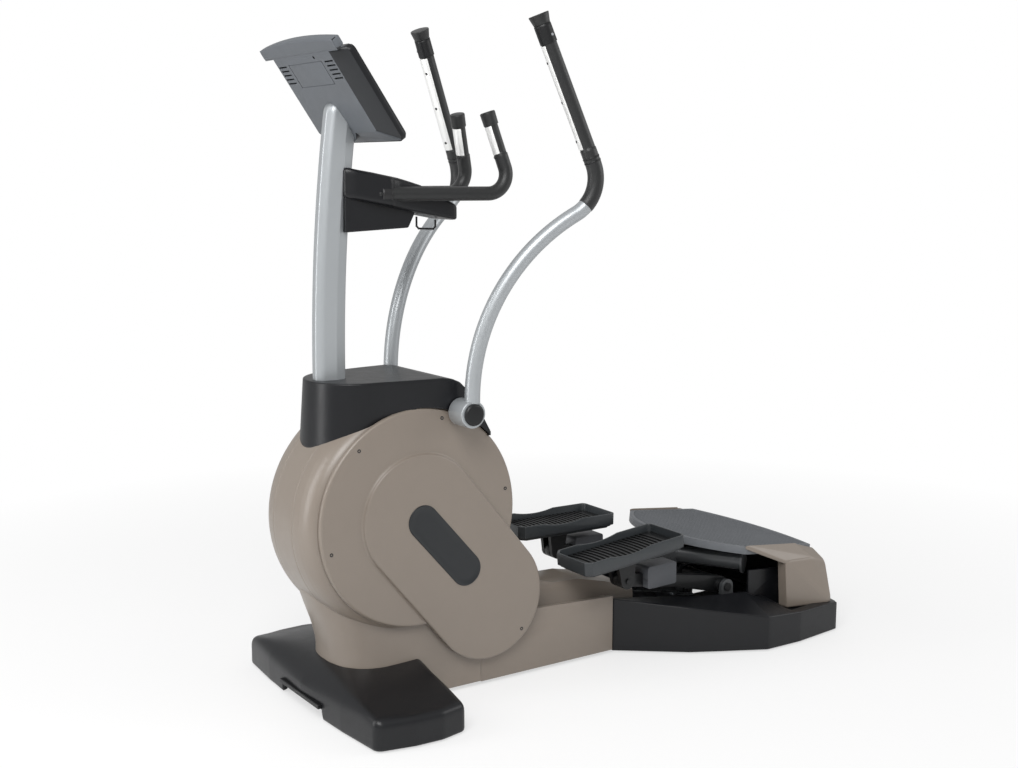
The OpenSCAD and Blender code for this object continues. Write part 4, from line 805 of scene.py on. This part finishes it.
# ---- fixed bar ----
bar = {"start": (-556.0, 1252.0), "splay": 10.0, "roll": 6.8, "lean": 106.7, "bend": 50.0, "run": 288.0, "gripL": 140.0}


def barPlace(side):
    # the bar's upright plane, leaned over and splayed outward
    splay, lean = math.radians(bar["splay"]), math.radians(bar["roll"])

    def place(p):
        x, y, z = p[..., 0] - bar["start"][0], p[..., 1], p[..., 2] - bar["start"][1]
        y, z = y * math.cos(lean) - z * math.sin(lean), y * math.sin(lean) + z * math.cos(lean)
        x, y = x * math.cos(splay) - y * math.sin(splay), x * math.sin(splay) + y * math.cos(splay)
        return np.stack([bar["start"][0] + x, side * (y + 42.0), bar["start"][1] + z], -1)
    return place


barPath = route(bar["start"], 0.0, [(bar["run"],), (bar["lean"], bar["bend"]), (bar["gripL"],)])
upStart = barPath[-2, 3]
for side, word in ((-1.0, "left"), (1.0, "right")):
    place = barPlace(side)
    node = word + "_pulse_bar"
    total = barPath[-1, 3]
    tube(word + "BarSleeve", barPath, [(0.0, 16.9), (0.6, 17.5), (upStart + 33.0, 17.5), (upStart + 34.0, 17.1),
         (upStart + 34.6, 15.9), (upStart + 107.4, 15.9), (upStart + 108.0, 17.9), (upStart + 108.6, 18.6),
         (total - 1.2, 19.3), (total - 0.2, 19.0), (total + 1.0, 18.0), (total + 1.6, 16.0)],
         "rubber", node, place, (node,))
    sleeve(word + "BarPlate", barPath, upStart + 36.0, upStart + 106.0, 15.8, 1.7, 0.0, 124.0, "plate", "pulse_sensors",
           place, ("pulse_sensors",))
    dot(word + "BarClip", barPath, upStart + 30.0, 17.4, 0.0, 4.2, 1.8, "blackHard", node, place, (node,))
print("fixed bar made")

# ---- mast ----
mastSize = {"cx": 3878.0, "cz": 830.0, "bend": 4550.0, "foot": 704.0, "top": 1428.0, "dome": 30.0}
domeTurn = np.linspace(0.1, 1.5, 14)
heights = np.concatenate([np.linspace(mastSize["foot"], mastSize["top"], 60),
                          mastSize["top"] + mastSize["dome"] * np.sin(domeTurn)])
swell = np.concatenate([np.ones(60), np.maximum(1.0 - np.sin(domeTurn) ** 4, 0.004) ** 0.25])
mastPlan = roundPlan([(-39, -9, 9), (-27, -23, 22), (8, -30, 3), (38, -17, 8), (38, 17, 8), (8, 30, 3), (-27, 23, 22),
                      (-39, 9, 9)], 160)
angleAt = math.pi - np.arcsin((heights - mastSize["cz"]) / mastSize["bend"])
rings = []
for k, a in zip(swell, angleAt):
    # a blunt nose, flanks that widen to a crisp edge, then a narrower back
    u, v = mastPlan[:, 0] * k, mastPlan[:, 1] * (0.45 + 0.55 * k)
    r = mastSize["bend"] - u
    rise = 1.0 - k
    rings.append(np.column_stack([mastSize["cx"] + r * math.cos(a), v,
                                  mastSize["cz"] + r * math.sin(a) - 0.5 * u * rise]))
build("mastTube", rings, "silver", "mast", replaced=("mast",))
print("mast made")

# ---- bracket of the fixed bar ----
# x, half width, low and high z
sections = np.array([(-640, 34, 1248, 1308), (-637, 39, 1243, 1314), (-628, 44, 1239, 1315), (-616, 49, 1238, 1312),
                     (-600, 52, 1235, 1309), (-570, 57, 1229, 1304), (-545, 61, 1224, 1299), (-530, 64, 1221, 1296),
                     (-524, 62.5, 1220, 1295), (-516, 58, 1218, 1294), (-500, 55, 1215, 1291), (-470, 55, 1209, 1283),
                     (-439, 56, 1203, 1274), (-400, 57, 1196, 1255), (-360, 57, 1189, 1236), (-346, 56, 1187, 1229),
                     (-340, 53, 1187, 1224), (-337, 46, 1192, 1216)], float)
across = np.linspace(0.0, 2 * math.pi, 120, endpoint=False)
rings = []
for x in np.concatenate([np.linspace(-640, -636, 5), np.linspace(-634, -341, 70), np.linspace(-340, -337, 5)]):
    w, low, high = (np.interp(x, sections[:, 0], sections[:, i]) for i in (1, 2, 3))
    # section: |y/w|^7 + |z/h|^7 = 1
    rings.append(np.column_stack([np.full(120, x), w * squared(np.cos(across), 2 / 7),
                                  (low + high) / 2 + (high - low) / 2 * squared(np.sin(across), 2 / 7)]))
build("bracketUpper", rings, "charcoal", "handlebar_bracket", replaced=("handlebar_bracket",))
hullPiece("bracketLower", [(x, y, z) for x, z in ((-639, 1162), (-639, 1246), (-467, 1170), (-449, 1205), (-449, 1212))
                           for y in (-37, 37)], "charcoal", "handlebar_bracket", 4.0, ("handlebar_bracket",))
for side, word in ((-1.0, "left"), (1.0, "right")):
    tube(word + "BarSocket", barPath, [(8.0, 17.6), (8.0, 21.0), (33.0, 21.0), (34.5, 19.5), (34.5, 17.6)], "blackHard",
         "handlebar_bracket", barPlace(side), ("handlebar_bracket",))
print("bracket made")

# ---- lip of the console ----
tilt = math.radians(34.6)


def onPanel(u, y, w):
    # u runs along the tilted panel and w stands square to it
    return np.stack([-635 + u * math.cos(tilt) - w * math.sin(tilt), y + 0 * u,
                     1477 + u * math.sin(tilt) + w * math.cos(tilt)], -1)


rings = []
for y in np.concatenate([[-190.5, -190.0, -188.5], np.linspace(-186, 186, 60), [188.5, 190.0, 190.5]]):
    crown = 158 - 1500 + math.sqrt(1510.0 ** 2 - y * y)
    pull = 3.0 * max(0.0, (abs(y) - 186.0) / 4.5) ** 2
    u = -17.0 + (12.0 - pull) * squared(np.cos(across), 0.4)
    w = (crown + 131) / 2 + ((crown - 131) / 2 - pull) * squared(np.sin(across), 0.25)
    rings.append(onPanel(u, np.full(120, y), w))
build("consoleLip", rings, "console", "console_housing", replaced=("console_housing",))
print("console made")

# ---- rear base: outer wall and deck ----
# x, y, z of the wall's top, then x, y, z of the deck's inner rim
wallHalf = np.array([(116, -120, 152, 130, -100, 147), (284, -251, 130.5, 300, -150, 134),
                     (358, -291, 118.4, 372, -185, 132), (479, -353, 98.6, 485, -250, 142),
                     (600, -355, 92, 590, -327, 90), (768, -335, 85, 740, -300, 87),
                     (806, -150, 82, 780, -140, 84), (812, 0, 82, 784, 0, 84)], float)
wallAll = np.vstack([wallHalf, wallHalf[-2::-1] * [1, -1, 1, 1, -1, 1]])
stations = []
for i in range(len(wallAll)):
    a, b = wallAll[i], wallAll[(i + 1) % len(wallAll)]
    length = np.linalg.norm(b[:2] - a[:2])
    # a station 2.5 mm either side of each corner keeps the corner crisp
    cuts = np.concatenate([[2.5], np.linspace(12.0, length - 12.0, max(3, int(length / 20))), [length - 2.5]]) / length
    stations.append(a + (b - a) * cuts[:, None])
stations = np.vstack(stations)
outer, rim = stations[:, :3], stations[:, 3:]
n = inward(outer[:, :2])
toRim = rim - outer
toRim /= np.linalg.norm(toRim, axis=1, keepdims=True)
rows = []
for z, inset in ((4.0, 4.0), (5.2, 1.2), (8.0, 0.0), (30.0, 0.0)):
    rows.append(np.column_stack([outer[:, :2] + n * inset, np.full(len(outer), z)]))
for back, inset in ((20.0, 0.0), (4.0, 0.0), (1.2, 1.0)):
    rows.append(np.column_stack([outer[:, :2] + n * inset, outer[:, 2] - back]))
edge = np.column_stack([outer[:, :2] + n * 3.6, outer[:, 2]])
rows += [edge, edge + toRim * 8.0, edge + (rim - edge) * 0.5, rim - toRim * 6.0, rim]
for inset, drop in ((2.5, 2.0), (3.0, 20.0), (3.0, 50.0)):
    rows.append(rim + np.column_stack([n * inset, np.full(len(n), -drop)]))
evenNormals(build("rearBaseDeck", rows, "charcoal", "rear_base", caps=(False, False), replaced=("rear_base",)))

# ---- pillars ----
pillarBlock = [(600, 290, 222), (706, 292, 217), (762, 290, 199), (609.5, 292, 82), (757, 327, 82), (606, 262, 82),
               (760, 262, 82), (600, 256, 238), (672, 254.5, 257), (744, 254.5, 234)]
pillarWing = [(476, 254.5, 266), (476, 254.5, 279), (672, 254.5, 257), (672, 254.5, 240), (600, 290, 222),
              (604, 288, 210), (706, 292, 217), (700, 288, 205)]
for mirror, word in ((True, "left"), (False, "right")):
    node = word + "_pillar"
    hullPiece(word + "PillarBlock", pillarBlock, "taupe", node, 7.0, (node,), mirror)
    hullPiece(word + "PillarWing", pillarWing, "taupe", node, 3.0, (node,), mirror)
print("base and pillars made")


# ---- stage: floor, light, camera ----
stage = {"floorSize": 14.0, "worldLevel": 0.5, "keyPower": 128.0, "stripPower": 30.0, "fillPower": 30.0}


def emitFinish(name, level):
    f = Finish(name)
    path = f.node("ShaderNodeLightPath")
    white = f.node("ShaderNodeEmission", {}, {"Color": (1.0, 1.0, 1.0, 1.0), "Strength": 1.0})["Emission"]
    # the floor shows its shadow near the object and runs out to plain white
    place = f.node("ShaderNodeVectorMath", {"operation": "LENGTH"}, {0: f.place})["Value"]
    away = ((place - 1.1) / 1.6).clamp()
    f.feed(Base_Color=(0.93, 0.93, 0.93, 1.0), Roughness=0.7, Specular_IOR_Level=0.2)
    mixed = f.node("ShaderNodeMixShader", {}, {0: (path["Is Camera Ray"] * (level + away * (1.0 - level))).clamp(),
                   1: Sock(f.tree, f.bsdf.outputs[0]), 2: white})["Shader"]
    f.tree.links.new(mixed.sock, f.out.inputs["Surface"])
    return f.material


half = stage["floorSize"]
floorMesh = bpy.data.meshes.new("floor")
floorMesh.from_pydata([(-half, -half, 0.0), (half, -half, 0.0), (half, half, 0.0), (-half, half, 0.0)],
                      [], [(0, 1, 2, 3)])
floor = bpy.data.objects.new("floor", floorMesh)
floorMesh.materials.append(emitFinish("paleFloor", 0.6))
bpy.context.scene.collection.objects.link(floor)

world = bpy.data.worlds.new("softRoom")
bpy.context.scene.world = world
world.use_nodes = True
tree = world.node_tree
tree.nodes.clear()
lightPath = tree.nodes.new("ShaderNodeLightPath")
room = tree.nodes.new("ShaderNodeBackground")
room.inputs["Color"].default_value = (1.0, 1.0, 1.0, 1.0)
room.inputs["Strength"].default_value = stage["worldLevel"]
shown = tree.nodes.new("ShaderNodeBackground")
shown.inputs["Color"].default_value = (1.0, 1.0, 1.0, 1.0)
shown.inputs["Strength"].default_value = 1.0
mixRoom = tree.nodes.new("ShaderNodeMixShader")
worldOut = tree.nodes.new("ShaderNodeOutputWorld")
seen = tree.nodes.new("ShaderNodeMath")
seen.operation = "MAXIMUM"
tree.links.new(lightPath.outputs["Is Camera Ray"], seen.inputs[0])
tree.links.new(lightPath.outputs["Is Transmission Ray"], seen.inputs[1])
tree.links.new(seen.outputs[0], mixRoom.inputs[0])
tree.links.new(room.outputs[0], mixRoom.inputs[1])
tree.links.new(shown.outputs[0], mixRoom.inputs[2])
tree.links.new(mixRoom.outputs[0], worldOut.inputs["Surface"])


def softBox(name, place, aim, size, power):
    light = bpy.data.lights.new(name, "AREA")
    light.shape = "RECTANGLE"
    light.size, light.size_y = size
    light.energy = power
    box = bpy.data.objects.new(name, light)
    box.location = place
    box.rotation_euler = (Vector(aim) - Vector(place)).to_track_quat("-Z", "Y").to_euler()
    bpy.context.scene.collection.objects.link(box)


softBox("keyBox", (-2.6, -2.4, 3.6), (-0.1, 0.0, 0.6), (2.6, 2.0), stage["keyPower"])
softBox("stripBox", (-3.3, 0.6, 1.5), (-0.6, 0.0, 1.0), (0.5, 2.6), stage["stripPower"])
softBox("fillBox", (3.2, -2.2, 2.2), (0.1, 0.0, 0.5), (2.0, 2.0), stage["fillPower"])

turn, dip, roll = -0.595, 0.154, 0.00206
right = Vector((math.cos(turn), math.sin(turn), 0.0))
back = Vector((math.sin(turn) * math.cos(dip), -math.cos(turn) * math.cos(dip), math.sin(dip)))
up = back.cross(right)
camera = bpy.data.cameras.new("camera")
camera.lens = 48.4
camera.sensor_width = 36.0
cameraObject = bpy.data.objects.new("camera", camera)
r2 = right * math.cos(roll) + up * math.sin(roll)
u2 = up * math.cos(roll) - right * math.sin(roll)
cameraObject.matrix_world = Matrix(((r2.x, u2.x, back.x, -2.1415), (r2.y, u2.y, back.y, -2.9469),
                                    (r2.z, u2.z, back.z, 1.3057), (0, 0, 0, 1)))
bpy.context.scene.collection.objects.link(cameraObject)
bpy.context.scene.camera = cameraObject
bpy.context.scene.view_settings.view_transform = "Standard"
print("stage set")
